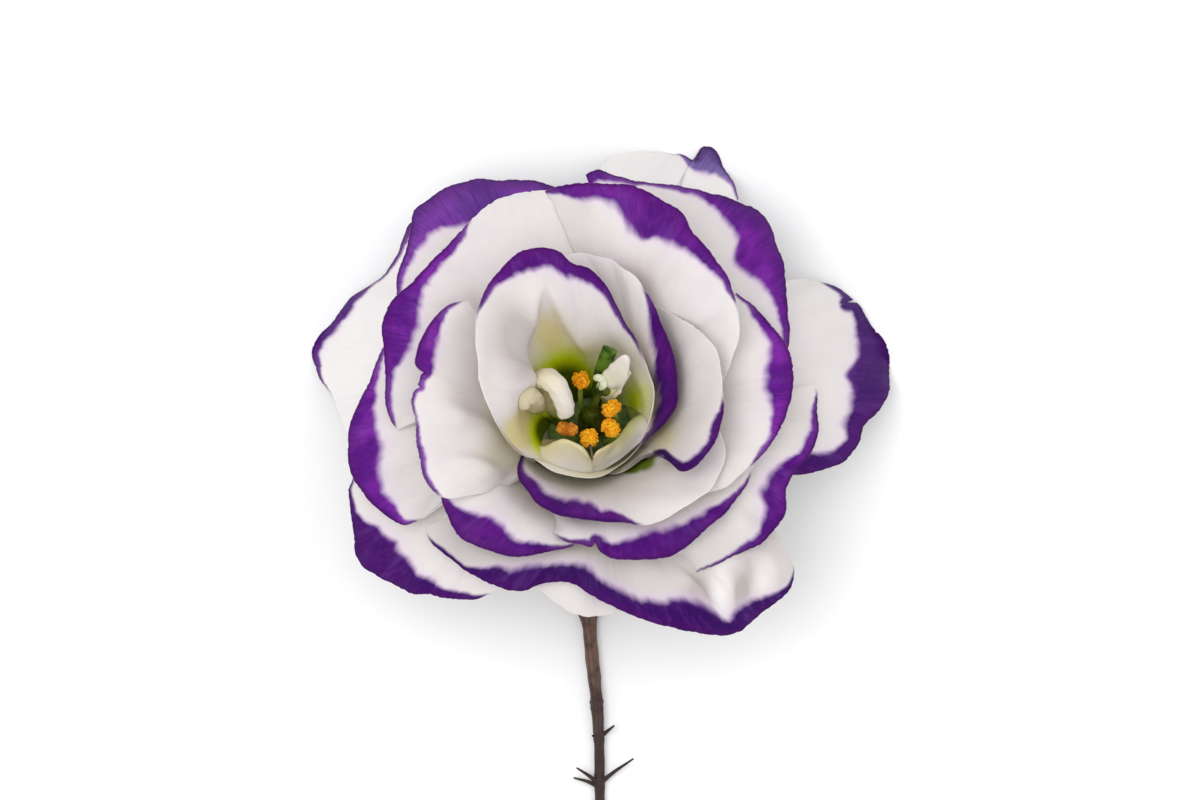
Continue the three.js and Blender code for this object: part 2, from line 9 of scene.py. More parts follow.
import bmesh
import bpy
import numpy as np
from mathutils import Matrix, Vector


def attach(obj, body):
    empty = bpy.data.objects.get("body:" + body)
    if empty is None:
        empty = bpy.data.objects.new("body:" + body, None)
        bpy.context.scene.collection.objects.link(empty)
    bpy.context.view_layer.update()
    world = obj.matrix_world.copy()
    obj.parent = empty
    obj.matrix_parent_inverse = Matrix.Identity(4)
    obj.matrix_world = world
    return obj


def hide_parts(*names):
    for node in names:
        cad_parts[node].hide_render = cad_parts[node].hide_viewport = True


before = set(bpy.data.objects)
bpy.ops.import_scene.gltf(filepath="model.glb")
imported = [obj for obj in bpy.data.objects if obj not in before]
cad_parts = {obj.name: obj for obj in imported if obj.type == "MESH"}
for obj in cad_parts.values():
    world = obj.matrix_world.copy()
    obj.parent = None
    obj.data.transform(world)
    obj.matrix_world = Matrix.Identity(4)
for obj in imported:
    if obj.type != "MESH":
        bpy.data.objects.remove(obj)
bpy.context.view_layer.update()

MM = 0.001
FRAME_SHIFT = np.array([-1.285, 19.47, 0])
LEAN = radians(13)
BASE_CENTRE = np.array([0, -0.6, 12])


def add_object(name, data):
    made = bpy.data.objects.new(name, data)
    bpy.context.scene.collection.objects.link(made)
    return made


# Camera: straight above, with the photograph's framing at the height VIEW_HEIGHT

CAMERA_HEIGHT = 3000
VIEW_CENTRE = (-0.245, 22.59)
VIEW_WIDTH = 156
VIEW_HEIGHT = 8
SENSOR = 36
CLIP_NEAR = 0.01
CLIP_FAR = 50

camera_data = bpy.data.cameras.new("camera")
camera_data.sensor_width = SENSOR
camera_data.lens = SENSOR * (CAMERA_HEIGHT - VIEW_HEIGHT) / VIEW_WIDTH
camera_data.clip_start = CLIP_NEAR
camera_data.clip_end = CLIP_FAR
camera = add_object("camera", camera_data)
camera.location = (VIEW_CENTRE[0] * MM, VIEW_CENTRE[1] * MM, CAMERA_HEIGHT * MM)
bpy.context.scene.camera = camera


# Curves and noise

CURVE_SAMPLES = 40
RIPPLE_WAVES = 9
RIPPLE_SPREAD = (0.7, 1.6)
TINY = 1e-9


def shares(count):
    return np.linspace(0, 1, count)


def joined(*columns):
    """Arrays that fit together, as the columns of one"""
    return np.stack(np.broadcast_arrays(*columns), -1)


def unit(vectors):
    return vectors / np.maximum(np.linalg.norm(vectors, axis=-1, keepdims=True), TINY)


def measured(line):
    """A line's points with the length up to each"""
    return line, np.concatenate([[0], np.cumsum(np.linalg.norm(np.diff(line, axis=0), axis=1))])


def smooth_curve(corners, samples=CURVE_SAMPLES):
    """Dense points of the centripetal Catmull-Rom curve through the corners, with the length up to each"""
    p = np.asarray(corners, float)
    p = np.vstack([2 * p[0] - p[1], p, 2 * p[-1] - p[-2]])
    u = np.linspace(0, 1, samples, endpoint=False)[:, None]
    spans = []
    for a, b, c, d in zip(p, p[1:], p[2:], p[3:]):
        before, here, after = (np.linalg.norm(step) ** 0.5 for step in (b - a, c - b, d - c))
        first = here * ((b - a) / before - (c - a) / (before + here) + (c - b) / here)
        last = here * ((c - b) / here - (d - b) / (here + after) + (d - c) / after)
        bend = 3 * (c - b) - 2 * first - last
        spans.append(b + first * u + bend * u**2 + (2 * (b - c) + first + last) * u**3)
    return measured(np.vstack([*spans, p[-2:-1]]))


def on_curve(curve, share):
    """Points at shares of a curve's length"""
    dense, lengths = curve
    return joined(*[np.interp(share * lengths[-1], lengths, column) for column in dense.T])


def smoothstep(value, low, high):
    share = np.clip((value - low) / (high - low), 0, 1)
    return share * share * (3 - 2 * share)


def mix(a, b, share):
    return a + (b - a) * share


def bell(distance, reach):
    """1 at no distance and soon 0 beyond the reach"""
    return np.exp(-((distance / reach) ** 2))


def ripple(rng, length, *places):
    """Smooth random waves of about the given length over one or two coordinates, mostly within -1 and 1"""
    total = 0
    for _ in range(RIPPLE_WAVES):
        turn = rng.uniform(0, tau)
        pace = tau / (length * rng.uniform(*RIPPLE_SPREAD))
        phase = rng.uniform(0, tau)
        ways = (cos(turn), sin(turn)) if len(places) > 1 else (1,)
        total = total + np.sin(pace * sum(way * place for way, place in zip(ways, places)) + phase)
    return total / RIPPLE_WAVES**0.5


# The petals' nested cup-shaped sheets, with the layer 0 in the middle and LAST_LAYER outside

LAST_LAYER = 6
INNER_PROFILE = np.array([[4.4, 0], [7.5, 11], [10.5, 24], [19, 33]])
OUTER_PROFILE = np.array([[9.3, 0], [15, 11], [26, 15], [43, -15]])
MIDDLE_LIFT = 6
FARTHEST_T = 1.15
HALVINGS = 40
PETAL_FLOOR = 0.14
FLOOR_SOFTNESS = 0.5


def sheet_profile(layer, t):
    """Radius and height at t along the profile of a layer"""
    share = np.asarray(layer) / LAST_LAYER
    weights = [(1 - t) ** 3, 3 * (1 - t) ** 2 * t, 3 * (1 - t) * t**2, t**3]
    radius = height = 0
    for weight, inner, outer in zip(weights, INNER_PROFILE, OUTER_PROFILE):
        radius = radius + weight * mix(inner[0], outer[0], share)
        height = height + weight * mix(inner[1], outer[1], share)
    return radius, height + weights[3] * 4 * MIDDLE_LIFT * share * (1 - share)


def leaned(x, y, z):
    """From the bloom's own frame to plan coordinates"""
    up, side = cos(LEAN), sin(LEAN)
    return joined(x, y * up + z * side, z * up - y * side) + BASE_CENTRE


def on_sheet(x, y, layer):
    """The azimuth and t at which a sheet passes over the plan position (x, y)"""
    across = x - BASE_CENTRE[0]

    def place(t):
        radius, height = sheet_profile(layer, t)
        return radius, (y - BASE_CENTRE[1] - height * sin(LEAN)) / cos(LEAN)

    low, high = np.zeros_like(x), np.full_like(x, FARTHEST_T)
    for _ in range(HALVINGS):
        t = (low + high) / 2
        radius, up = place(t)
        beyond = np.hypot(across, up) > radius
        low = np.where(beyond, t, low)
        high = np.where(beyond, high, t)
    return np.arctan2(place(low)[1], across), low


def sheet_point(azimuth, t, layer, rise):
    """The point of a sheet at an azimuth and t, held softly above the surface"""
    radius, height = sheet_profile(layer, t)
    point = leaned(radius * np.cos(azimuth), radius * np.sin(azimuth), height + rise)
    over = (point[..., 2] - PETAL_FLOOR) / FLOOR_SOFTNESS
    point[..., 2] = PETAL_FLOOR + FLOOR_SOFTNESS * np.logaddexp(0, over)
    return point


# Pieces

UV_INSET = 0.01
UV_WIDTH = 0.48
UV_HEIGHT = 0.94
UV_BACK = 0.5
UV_RIM = 0.98


class Body:
    """Points and faces of a piece, gathered part by part"""

    def __init__(self):
        self.points = []
        self.faces = []
        self.kinds = []
        self.uvs = []
        self.values = {}
        self.size = 0

    def add(self, points, faces, kind=0, uv=None, **values):
        points = points.reshape(-1, 3)
        for name in self.values | values:
            rows = self.values.setdefault(name, [np.zeros((self.size, 3))] if self.size else [])
            rows.append(values.get(name, np.zeros(points.shape)).reshape(-1, 3))
        self.uvs.append(np.zeros((len(points), 2)) if uv is None else uv)
        self.points.append(points)
        self.faces += [[corner + self.size for corner in face] for face in faces]
        self.kinds += [kind] * len(faces)
        self.size += len(points)


def make_piece(node, body, materials, keep_uv=False):
    """One Blender object of a body, riding on the part and standing for a CAD node"""
    name = f"fine_{node}"
    mesh = bpy.data.meshes.new(name)
    points = (np.vstack(body.points) + FRAME_SHIFT) * MM
    mesh.from_pydata(points.tolist(), [], body.faces)
    for material in materials:
        mesh.materials.append(material)
    mesh.polygons.foreach_set("material_index", np.array(body.kinds, np.int32))
    mesh.polygons.foreach_set("use_smooth", np.ones(len(body.faces), bool))
    for key, rows in body.values.items():
        attribute = mesh.attributes.new(key, "FLOAT_VECTOR", "POINT")
        attribute.data.foreach_set("vector", np.vstack(rows).astype(np.float32).ravel())
    if keep_uv:
        corners = np.concatenate(body.faces)
        layer = mesh.uv_layers.new(name="OFBake")
        layer.data.foreach_set("uv", np.vstack(body.uvs)[corners].astype(np.float32).ravel())
    mesh.update()
    piece = add_object(name, mesh)
    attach(piece, "root")
    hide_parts(node)


def grid_normals(points):
    return unit(np.cross(np.gradient(points, axis=0), np.gradient(points, axis=1)))


def ring_quads(index, first=0):
    """Quads of a grid of points that closes around its second axis, each from its corner number first"""
    following = np.roll(index, -1, axis=1)
    corners = [index[:-1], following[:-1], following[1:], index[1:]]
    return joined(*corners[first:], *corners[:first]).reshape(-1, 4).tolist()


def blade(body, points, half, **grids):
    """Adds a closed thin blade about a grid of middle points, with a rounded rim at its last row"""
    side = points[..., 0].size
    index = np.arange(side).reshape(points.shape[:2])
    rim = 2 * side + np.arange(len(points))
    faces = ring_quads(np.hstack([index + side, rim[:, None], index[:, ::-1]]), 1)
    for line, end, way in ((index[0], rim[0], 1), (index[-1], rim[-1], -1)):
        cap = [[p, q, side + q, side + p] for p, q in zip(line, line[1:])]
        faces += [face[::way] for face in (*cap, [line[-1], end, side + line[-1]])]

    def stacked(front, back, edge):
        return np.concatenate([part.reshape(-1, part.shape[-1]) for part in (front, back, edge)])

    thickness = grid_normals(points) * half
    edge = points[:, -1] + unit(points[:, -1] - points[:, -2]) * half[0, -1]
    spread = UV_INSET + UV_WIDTH * shares(points.shape[0])
    uv = joined(spread[:, None], 2 * UV_INSET + UV_HEIGHT * shares(points.shape[1]))
    values = {key: stacked(grid, grid, grid[:, -1]) for key, grid in grids.items()}
    body.add(stacked(points + thickness, points - thickness, edge), faces,
             uv=stacked(uv, uv + (UV_BACK, 0), joined(spread, UV_RIM)), **values)


# Materials. Colours are written as their 0 to 255 values on a screen.

def srgb(red, green, blue):
    """A colour of the shader from its values on a screen"""
    values = [value / 255 for value in (red, green, blue)]
    return (*[v / 12.92 if v <= 0.04045 else ((v + 0.055) / 1.055) ** 2.4 for v in values], 1)


class Shader:
    """A material whose nodes are written as expressions"""

    def __init__(self, name, **settings):
        self.material = bpy.data.materials.new(name)
        self.material.use_nodes = True
        self.tree = self.material.node_tree
        self.main = self.tree.nodes["Principled BSDF"]
        for key, value in settings.items():
            self.feed(key.replace("_", " ").title().replace("Ior", "IOR"), value)

    def link(self, value, socket):
        if isinstance(value, bpy.types.NodeSocket):
            self.tree.links.new(value, socket)
        else:
            socket.default_value = value

    def feed(self, name, value):
        self.link(value, self.main.inputs[name])

    def node(self, kind, inputs, **settings):
        """The outputs of a new node, with its settings and its inputs, by place or by name"""
        made = self.tree.nodes.new(f"ShaderNode{kind}")
        for key, value in settings.items():
            setattr(made, key, value)
        for key, value in inputs.items():
            self.link(value, made.inputs[key])
        return made.outputs

    def math(self, operation, *values, clamp=False):
        return self.node("Math", dict(enumerate(values)), operation=operation, use_clamp=clamp)[0]

    def times(self, first, second, clamp=False):
        return self.math("MULTIPLY", first, second, clamp=clamp)

    def plus(self, first, second):
        return self.math("ADD", first, second)

    def minus(self, first, second, clamp=False):
        return self.math("SUBTRACT", first, second, clamp=clamp)

    def line(self, value, slope, offset):
        return self.math("MULTIPLY_ADD", value, slope, offset)

    def step(self, value, low, high):
        """0 at low and 1 at high, smoothly"""
        return self.node("MapRange", {0: value, 1: low, 2: high}, interpolation_type="SMOOTHSTEP")[0]

    def mix(self, share, first, second):
        first, second = (srgb(*tint) if isinstance(tint, tuple) else tint for tint in (first, second))
        return self.node("Mix", {"Factor": share, 6: first, 7: second}, data_type="RGBA")[2]

    def tinged(self, base, value, low, high, tint, most=None):
        """The base colour, and towards high ever more of the tint, up to a share of most"""
        share = self.step(value, low, high)
        return self.mix(share if most is None else self.times(share, most), base, tint)

    def split(self, name):
        """The three values of an attribute"""
        return self.node("SeparateXYZ", {0: self.node("Attribute", {}, attribute_name=name)["Vector"]})

    def here(self):
        """The place on the piece, in millimetres"""
        place = self.node("TexCoord", {})["Object"]
        return self.node("VectorMath", {0: place, "Scale": 1 / MM}, operation="SCALE")[0]

    def noise(self, vector, scale, detail=3, roughness=0.5):
        inputs = {"Vector": vector, "Scale": scale, "Detail": detail, "Roughness": roughness}
        return self.node("TexNoise", inputs)["Fac"]

    def strands(self, way, fineness, stretch, detail=2, roughness=0.5):
        """Noise as fine as given across the blade, and stretched out along a way"""
        streak, _, seed = self.split("blade")
        parts = {0: self.times(streak, fineness), 1: self.times(way, stretch), 2: seed}
        return self.noise(self.node("CombineXYZ", parts)[0], 1, detail, roughness)

    def bump(self, height, distance, strength):
        inputs = {"Height": height, "Distance": distance * MM, "Strength": strength}
        self.feed("Normal", self.node("Bump", inputs)[0])

    def rough(self, value, slope, least):
        self.feed("Roughness", self.line(value, slope, least))

    def colour(self, value):
        self.feed("Base Color", value)


def violet_shares(s):
    """The share of violet, that of the pale halo inside it, and how far the violet reaches in from the rim"""
    distance, width, _ = s.split("margin")
    fine = s.strands(distance, 0.42, 0.3, 2, 0.45)
    lobes = s.strands(distance, 0.2, 0.1, 1)
    swell = s.line(s.minus(lobes, 0.5), 0.35, 1)
    ragged = s.times(s.minus(fine, 0.5), s.math("MINIMUM", width, 1.7))
    reach = s.plus(s.times(width, swell), ragged)
    softness = s.line(s.math("MINIMUM", width, 3), 0.2, 0.13)
    depth = s.math("DIVIDE", s.minus(reach, distance), softness)
    violet = s.times(s.step(depth, -0.9, 1.1), s.step(width, 0.02, 0.4))
    halo = s.times(s.step(depth, -3, 0.5), s.step(width, 0.2, 1.5))
    return violet, halo, reach


def petal_violet(s, reach):
    """The violet's colour: patches, dusk, painted bluish sheen streaks, tones from rim to white, veins,
    flecks and a dark rim
    """
    distance, width, dusk = s.split("margin")
    share = s.math("DIVIDE", distance, s.math("MAXIMUM", reach, 0.2))
    colour = s.tinged((112, 29, 146), s.strands(distance, 0.2, 0.26), 0.36, 0.64, (78, 14, 119))
    darkness = s.math("MAXIMUM", dusk, 0, clamp=True)
    colour = s.mix(darkness, colour, (42, 4, 80))
    colour = s.mix(s.times(dusk, -1, clamp=True), colour, (118, 98, 160))
    # Painted sheen: pale bluish streaks
    colour = s.tinged(colour, s.strands(distance, 0.5, 0.2, 3, 0.6), 0.5, 0.7, (110, 64, 152), 0.2)
    colour = s.tinged(colour, share, 0.5, 0, (58, 4, 86), 0.6)
    colour = s.tinged(colour, share, 0.7, 1.15, (130, 64, 164), 0.7)
    thinness = s.times(s.step(width, 1.3, 0.3), s.line(darkness, -0.5, 0.5))
    colour = s.mix(thinness, colour, (158, 104, 184))
    colour = s.tinged(colour, s.strands(distance, 2.4, 0.25), 0.46, 0.72, (52, 6, 88), 0.4)
    colour = s.tinged(colour, s.strands(distance, 1.7, 0.7, 3, 0.6), 0.48, 0.75, (118, 56, 154), 0.16)
    return s.tinged(colour, distance, 0.45, 0.1, (42, 10, 62), 0.6)


def petal_white(s):
    """The white's colour: painted shade and light, then threads, creamy, khaki, lime, green and olive"""
    green, khaki_and_shade, cream = s.split("tone")
    flush, olive_and_shade, _ = s.split("flush")
    blush = s.noise(s.here(), 0.16, 2)
    pale = s.tinged((240, 234, 232), blush, 0.35, 0.7, (236, 230, 230))
    plain = s.tinged((219, 213, 210), blush, 0.35, 0.7, (215, 207, 209))
    # Painted shade: the first value greys the white where shade falls, and below 0 it paints the white paler
    # as light
    colour = s.mix(s.math("MINIMUM", flush, 1, clamp=True), pale, plain)
    colour = s.mix(s.minus(flush, 1, clamp=True), colour, (178, 171, 168))
    threads = s.strands(s.split("blade")[1], 2.1, 2)
    colour = s.tinged(colour, threads, 0.5, 0.8, (200, 192, 190), 0.12)
    stray = s.times(s.minus(threads, 0.5), 0.14)
    for value, low, high, tint, most in (
        (cream, 0, 1, (222, 215, 192), 0.8),
        # Khaki: the bases' own tone, and also painted shade in valleys and under overlapping rims
        (khaki_and_shade, 0.05, 1, (202, 190, 140), None),
        (green, 0.02, 0.55, (190, 204, 10), None),
        (green, 0.45, 1, (74, 90, 6), None),
        # Olive: dark green base tissue, deepened as painted shade in the cup's crevices
        (olive_and_shade, 0.2, 0.9, (104, 120, 30), None),
    ):
        colour = s.tinged(colour, s.plus(value, stray), low, high, tint, most)
    return colour


def petal_material():
    s = Shader("petal", subsurface_weight=0.5, subsurface_scale=1.1 * MM, specular_ior_level=0.07,
               subsurface_radius=(0.9, 0.9, 0.9))
    violet, halo, reach = violet_shares(s)
    haloed = s.mix(s.times(halo, 0.28), petal_white(s), (214, 178, 226))
    s.colour(s.mix(violet, haloed, petal_violet(s, reach)))
    cells = s.noise(s.here(), 9, 2)
    ribs = s.strands(s.split("blade")[1], 1.7, 1.2, 3)
    s.bump(s.plus(ribs, s.times(cells, 0.18)), 0.12, 0.35)
    s.rough(cells, 0.2, 0.42)
    return s.material


def leaf_material(name, dark, light):
    """Green plant tissue with lengthwise threads"""
    s = Shader(name, subsurface_weight=0.15, subsurface_scale=0.5 * MM, specular_ior_level=0.2)
    threads = s.strands(s.split("blade")[1], 3, 2, 3)
    patches = s.noise(s.here(), 0.5)
    s.colour(s.tinged(s.tinged(dark, patches, 0.35, 0.65, light), threads, 0.5, 0.75, light, 0.4))
    s.bump(threads, 0.15, 0.6)
    s.rough(patches, 0.25, 0.35)
    return s.material


def pollen_material(name, bright, dull):
    s = Shader(name, subsurface_weight=0.2, subsurface_scale=0.3 * MM, specular_ior_level=0.2)
    grains = s.noise(s.here(), 3.2)
    clumps = s.noise(s.here(), 1, 1)
    # Painted shade: darker orange where the grain noise is low, in the bump's hollows
    s.colour(s.tinged(s.tinged(bright, clumps, 0.35, 0.7, dull), grains, 0.55, 0.35, (168, 84, 10), 0.6))
    s.bump(grains, 0.25, 0.8)
    s.rough(grains, 0.2, 0.7)
    return s.material


def bark_material():
    """Grey-brown bark in strips, with rusty patches and darker stretches from the tone attribute"""
    s = Shader("bark", specular_ior_level=0.35)
    darkness, rust, _ = s.split("tone")
    strips = s.strands(s.split("blade")[1], 2.4, 0.35, 5, 0.6)
    patches = s.noise(s.here(), 0.35, 4, 0.6)
    specks = s.noise(s.here(), 2.6)
    colour = s.tinged((96, 70, 58), patches, 0.38, 0.62, (150, 124, 110))
    colour = s.tinged(colour, strips, 0.45, 0.65, (62, 42, 38), 0.75)
    colour = s.tinged(colour, specks, 0.62, 0.75, (172, 150, 132), 0.6)
    colour = s.mix(s.times(rust, s.step(patches, 0.46, 0.6)), colour, (122, 66, 24))
    s.colour(s.mix(s.times(darkness, 0.9), colour, (46, 32, 32)))
    s.bump(s.plus(strips, s.times(specks, 0.4)), 0.3, 0.9)
    s.rough(strips, 0.3, 0.5)
    return s.material


PETAL = petal_material()
LEAFLET = leaf_material("leaflet", (32, 64, 8), (96, 130, 44))
# The ovary's very dark green is partly its own colour and partly painted shade of the throat's centre
OVARY = leaf_material("ovary", (42, 46, 8), (82, 92, 18))
FILAMENT = leaf_material("filament", (140, 172, 40), (190, 204, 96))
STIGMA = leaf_material("stigma", (196, 206, 166), (228, 232, 206))
SEPAL = leaf_material("sepal", (76, 104, 44), (124, 150, 74))
POLLEN = pollen_material("pollen", (252, 186, 32), (240, 154, 14))
POLLEN_OLD = pollen_material("pollen_old", (222, 150, 48), (190, 108, 30))
BARK = bark_material()


# Petals

COLUMN_STEP = 0.34
ROWS = 60
ROW_CROWDING = 1.5
MARGIN_ROUNDS = 6
TURN_ROOM = 0.6
BASE_SHARE = 0.35
BASE_OPENING = 0.6
BOUND = (0.05, 0.55)
RUFFLE = 0.5
RUFFLE_LENGTH = 13
BASE_HALF = 0.24
RIM_HALF = 0.08
THINNING = 1.5
REST_GAP = 0.03
TOOTH_DEPTH = 0.04
TOOTH_LENGTHS = (0.9, 3)
SWELL = 0.32
SWELL_LENGTH = 9
EDGE_SWELL = 0.12
EDGE_SWELL_LENGTH = 4.5
RIB = 0.016
RIB_LENGTH = 1.1
RIB_START = (0.1, 0.5)
RIM_CURL = 0.35
CURL_REACH = 1.1
STEEP_PUSH = 0.3
FOLD_SAMPLES = 12
FOLD_END = 0.75
CREAM_REACH = (0.62, 0.3)
WIDTH_REACH = 0.35
SEED_STEP = 3.7

GREEN, KHAKI_AND_SHADE, CREAM, PAINTED_SHADE, OLIVE_AND_SHADE = range(5)


def petal_points(base, layers, outline, across, along, teeth=0):
    """The middle surface's points, as the solids have it, and their t, with the margin cut back by teeth"""
    low, middle, high = layers
    x, y = on_curve(outline, across).T
    start = on_sheet(x[:1], y[:1], low)[0]

    def turn_from(azimuth):
        return (azimuth - start + TURN_ROOM) % tau - TURN_ROOM

    def layer_at(turn):
        share = np.clip(turn / span, 0, 1)
        rest = 1 - share
        return low * rest * (rest - share) + 4 * middle * share * rest + high * share * (share - rest)

    span = turn_from(on_sheet(x[-1:], y[-1:], high)[0])
    edge_turn = across * span
    for _ in range(MARGIN_ROUNDS):
        azimuth, edge_t = on_sheet(x, y, layer_at(edge_turn))
        edge_turn = turn_from(azimuth)
    turn = span / 2 + (edge_turn[:, None] - span / 2) * mix(BASE_SHARE, 1, along**BASE_OPENING)
    t = (edge_t * (1 - teeth))[:, None] * along
    layer = mix(base, layer_at(turn), smoothstep(t, *BOUND))
    waves = round(outline[1][-1] / RUFFLE_LENGTH)
    wave = RUFFLE * along**3 * np.sin(tau * waves * across)[:, None]
    return sheet_point(start + turn, t, layer, wave), t


def margin_teeth(rng, notches, line, place):
    """How far small teeth and notches cut back each column's margin"""
    teeth = TOOTH_DEPTH * (1 + sum(ripple(rng, length, place) for length in TOOTH_LENGTHS))
    for x, y, depth, half_width in notches:
        centre = place[np.argmin(np.hypot(line[:, 0] - x, line[:, 1] - y))]
        teeth = teeth + depth * np.clip(1 - np.abs(place - centre) / half_width, 0, 1)
    return np.maximum(teeth, 0)


def plan_gaps(points, line):
    """The distances in plan from each of the points to each of a line's"""
    return np.linalg.norm(points[..., :2].reshape(-1, 1, 2) - line, axis=2)


def fold(points, corners, height, left, right):
    """A rounded fold along a line in plan, as wide as left and right on the line's two sides"""
    line, lengths = smooth_curve(corners, FOLD_SAMPLES)
    nearest = plan_gaps(points, line).argmin(1)
    way = unit(np.gradient(line, axis=0))[nearest]
    offset = points[..., :2].reshape(-1, 2) - line[nearest]
    aside = way[:, 0] * offset[:, 1] - way[:, 1] * offset[:, 0]
    along = (lengths[nearest] + (offset * way).sum(1)) / lengths[-1]
    ends = smoothstep(along, -0.2, 0.3) * smoothstep(along, 1.2, 0.7)
    return (height * ends * bell(aside, np.where(aside > 0, left, right))).reshape(points.shape[:2])


def rippled(rng, points, along, place, lengths, folds):
    """A petal's points, moved by ripples, ribs, the curled rim and folds"""
    up = grid_normals(points)
    up *= np.sign(up[..., 2].mean())
    push = SWELL * along**2 * ripple(rng, SWELL_LENGTH, place, lengths.mean() * along)
    push = push + EDGE_SWELL * along**3 * ripple(rng, EDGE_SWELL_LENGTH, place)
    push = push + RIB * smoothstep(along, *RIB_START) * ripple(rng, RIB_LENGTH, place)
    push = push + RIM_CURL * np.exp(-(1 - along) * lengths[:, None] / CURL_REACH)
    push = push * mix(STEEP_PUSH, 1, np.abs(up[..., 2]))
    for crease in folds:
        push = push - fold(points, *crease) * smoothstep(along, 1, FOLD_END)
    return points - up * push[..., None]


def petal_tints(points, t, tints, cream, flush):
    """The tone and painted shade attributes of a petal's points"""
    tones, painted_shades = np.zeros((2, *points.shape))
    tones[..., CREAM] = cream * smoothstep(t, *CREAM_REACH)
    painted_shades[..., 0] = flush
    for x, y, wide, high, kind, amount in tints:
        spot = amount * bell(points[..., 0] - x, wide) * bell(points[..., 1] - y, high)
        # Painted shade tints grey the white where shade falls; negative ones paint light onto it
        if kind == PAINTED_SHADE:
            painted_shades[..., 0] += spot
        elif kind == OLIVE_AND_SHADE:
            painted_shades[..., 1] = np.maximum(painted_shades[..., 1], spot)
        else:
            tones[..., kind] = np.maximum(tones[..., kind], spot)
    return dict(tone=tones, flush=painted_shades)


def margin_values(points, widths, dusk):
    """Distance to the rim, violet width, smoothly shared by the near stretches of rim, and dusk"""
    gaps = plan_gaps(points, points[:, -1, :2])
    distance = gaps.min(1)
    weights = np.exp((distance[:, None] - gaps) / WIDTH_REACH)
    return joined(distance, weights @ widths / weights.sum(1), dusk).reshape(points.shape)


def petal(seed, node, base, layers, margin, flush=1, dusk=0, cream=1, notches=(), tints=(), sinks=(),
          folds=()):
    rng = np.random.default_rng(seed)
    outline = smooth_curve([point[:2] for point in margin])
    length = outline[1][-1]
    across = shares(round(length / COLUMN_STEP) + 1)
    along = 1 - (1 - shares(ROWS + 1)) ** ROW_CROWDING
    sheet = (base, layers, outline, across, along)
    lengths = np.linalg.norm(np.diff(petal_points(*sheet)[0], axis=1), axis=2).sum(1)
    place = across * length
    teeth = margin_teeth(rng, notches, on_curve(outline, across), place)
    points, t = petal_points(*sheet, teeth / lengths)
    values = petal_tints(points, t, tints, cream, flush)
    points = rippled(rng, points, along, place[:, None], lengths, folds)
    half = mix(BASE_HALF, RIM_HALF, along**THINNING)
    for x, y, reach, depth in sinks:
        points[..., 2] -= depth * bell(np.hypot(points[..., 0] - x, points[..., 1] - y), reach)
    points[..., 2] = np.maximum(points[..., 2], half + REST_GAP)
    bands = [(*point, 0)[2] for point in margin]
    widths = np.interp(place, outline[1][::CURVE_SAMPLES], bands)
    body = Body()
    blade(body, points, half[None, :, None], blade=joined(place[:, None], along, seed * SEED_STEP),
          margin=margin_values(points, widths, dusk), **values)
    make_piece(node, body, [PETAL], keep_uv=True)


# The petals, from the throat outwards. Base is the layer at a petal's root, and layers are those at its
# margin's start, middle and end. Margins hold X, Y and the width of the violet band, where there is one.
# Notches hold X, Y, depth and half-width. Tints hold X, Y, their reach along both, a kind and an amount.
# Sinks hold X, Y, reach and depth. Folds hold a line, a height and the reach to its left and right. The
# painted shade is how grey the white is painted where shade falls, and below 0 how pale it is painted as
# light;
# dusk is how dark the violet is, or how blue below 0.

petal(1, "inner_petal_top", base=0, layers=(-0.4, 0, 0.4), dusk=0.5, margin=[
    (6.9, 0.1), (7.5, 1.8), (7.6, 3.4), (7.4, 5.3), (6.7, 7.8, 0.1), (6, 9.7, 0.3), (4.1, 12.8, 0.5),
    (2.1, 16.9, 1), (0.6, 19.1, 1.4), (-0.8, 20.2, 2.2), (-2.7, 20.8, 1.6), (-3.8, 21.8, 2.2),
    (-4.9, 22.2, 2), (-7, 22.5, 2.7), (-9, 22.2, 2.4), (-10.4, 21.2, 1.9), (-12.4, 19.1, 1.2),
    (-13.6, 17.2, 0.8), (-14.6, 15, 0.3), (-14.9, 11), (-14.4, 6.5), (-13.5, 3), (-11.8, -0.3, 0.15),
    (-9, -3.6, 0.25), (-6.6, -4.3),
], tints=[
    (-3.4, 4.2, 3.8, 4.6, GREEN, 1.35), (0, 1.5, 3.4, 4.5, GREEN, 1.4), (5.6, 3.2, 2, 3, GREEN, 0.52),
    (-6.2, -0.8, 1.7, 2.6, GREEN, 1.3), (-5.4, 11.6, 3, 3.4, KHAKI_AND_SHADE, 0.95), (-4.8, 14.6, 1.1, 2, KHAKI_AND_SHADE, 0.6),
    # The khaki pocket below the left wall and the grey on that wall are painted shade
    (-3, 9.6, 5, 1.6, KHAKI_AND_SHADE, 0.8), (-8.2, 6, 1.4, 3, KHAKI_AND_SHADE, 0.4), (-9, -0.6, 2.2, 2.6, KHAKI_AND_SHADE, 1.7),
    (-10.4, 11.5, 2.6, 4.4, PAINTED_SHADE, 1.5), (-9.6, -0.8, 2, 2, PAINTED_SHADE, 1),
], folds=[
    ([(-7, 18), (-8.9, 14), (-10.3, 11.2), (-10.1, 8.6), (-9.4, 6.4), (-9.6, 4.2), (-10.2, 2.4)], 2.6, 1, 3),
    ([(-5.6, 19), (-3.6, 14.2), (-0.4, 9.6)], 1.2, 4, 0.8),
    ([(-12.6, 9), (-12.3, 6.4), (-11.2, 4.8), (-10, 5.6)], 0.6, 1.1, 0.8),
    ([(-13.4, 8), (-12, 2.5), (-9.8, -1)], 0.7, 0.9, 1.2),
])
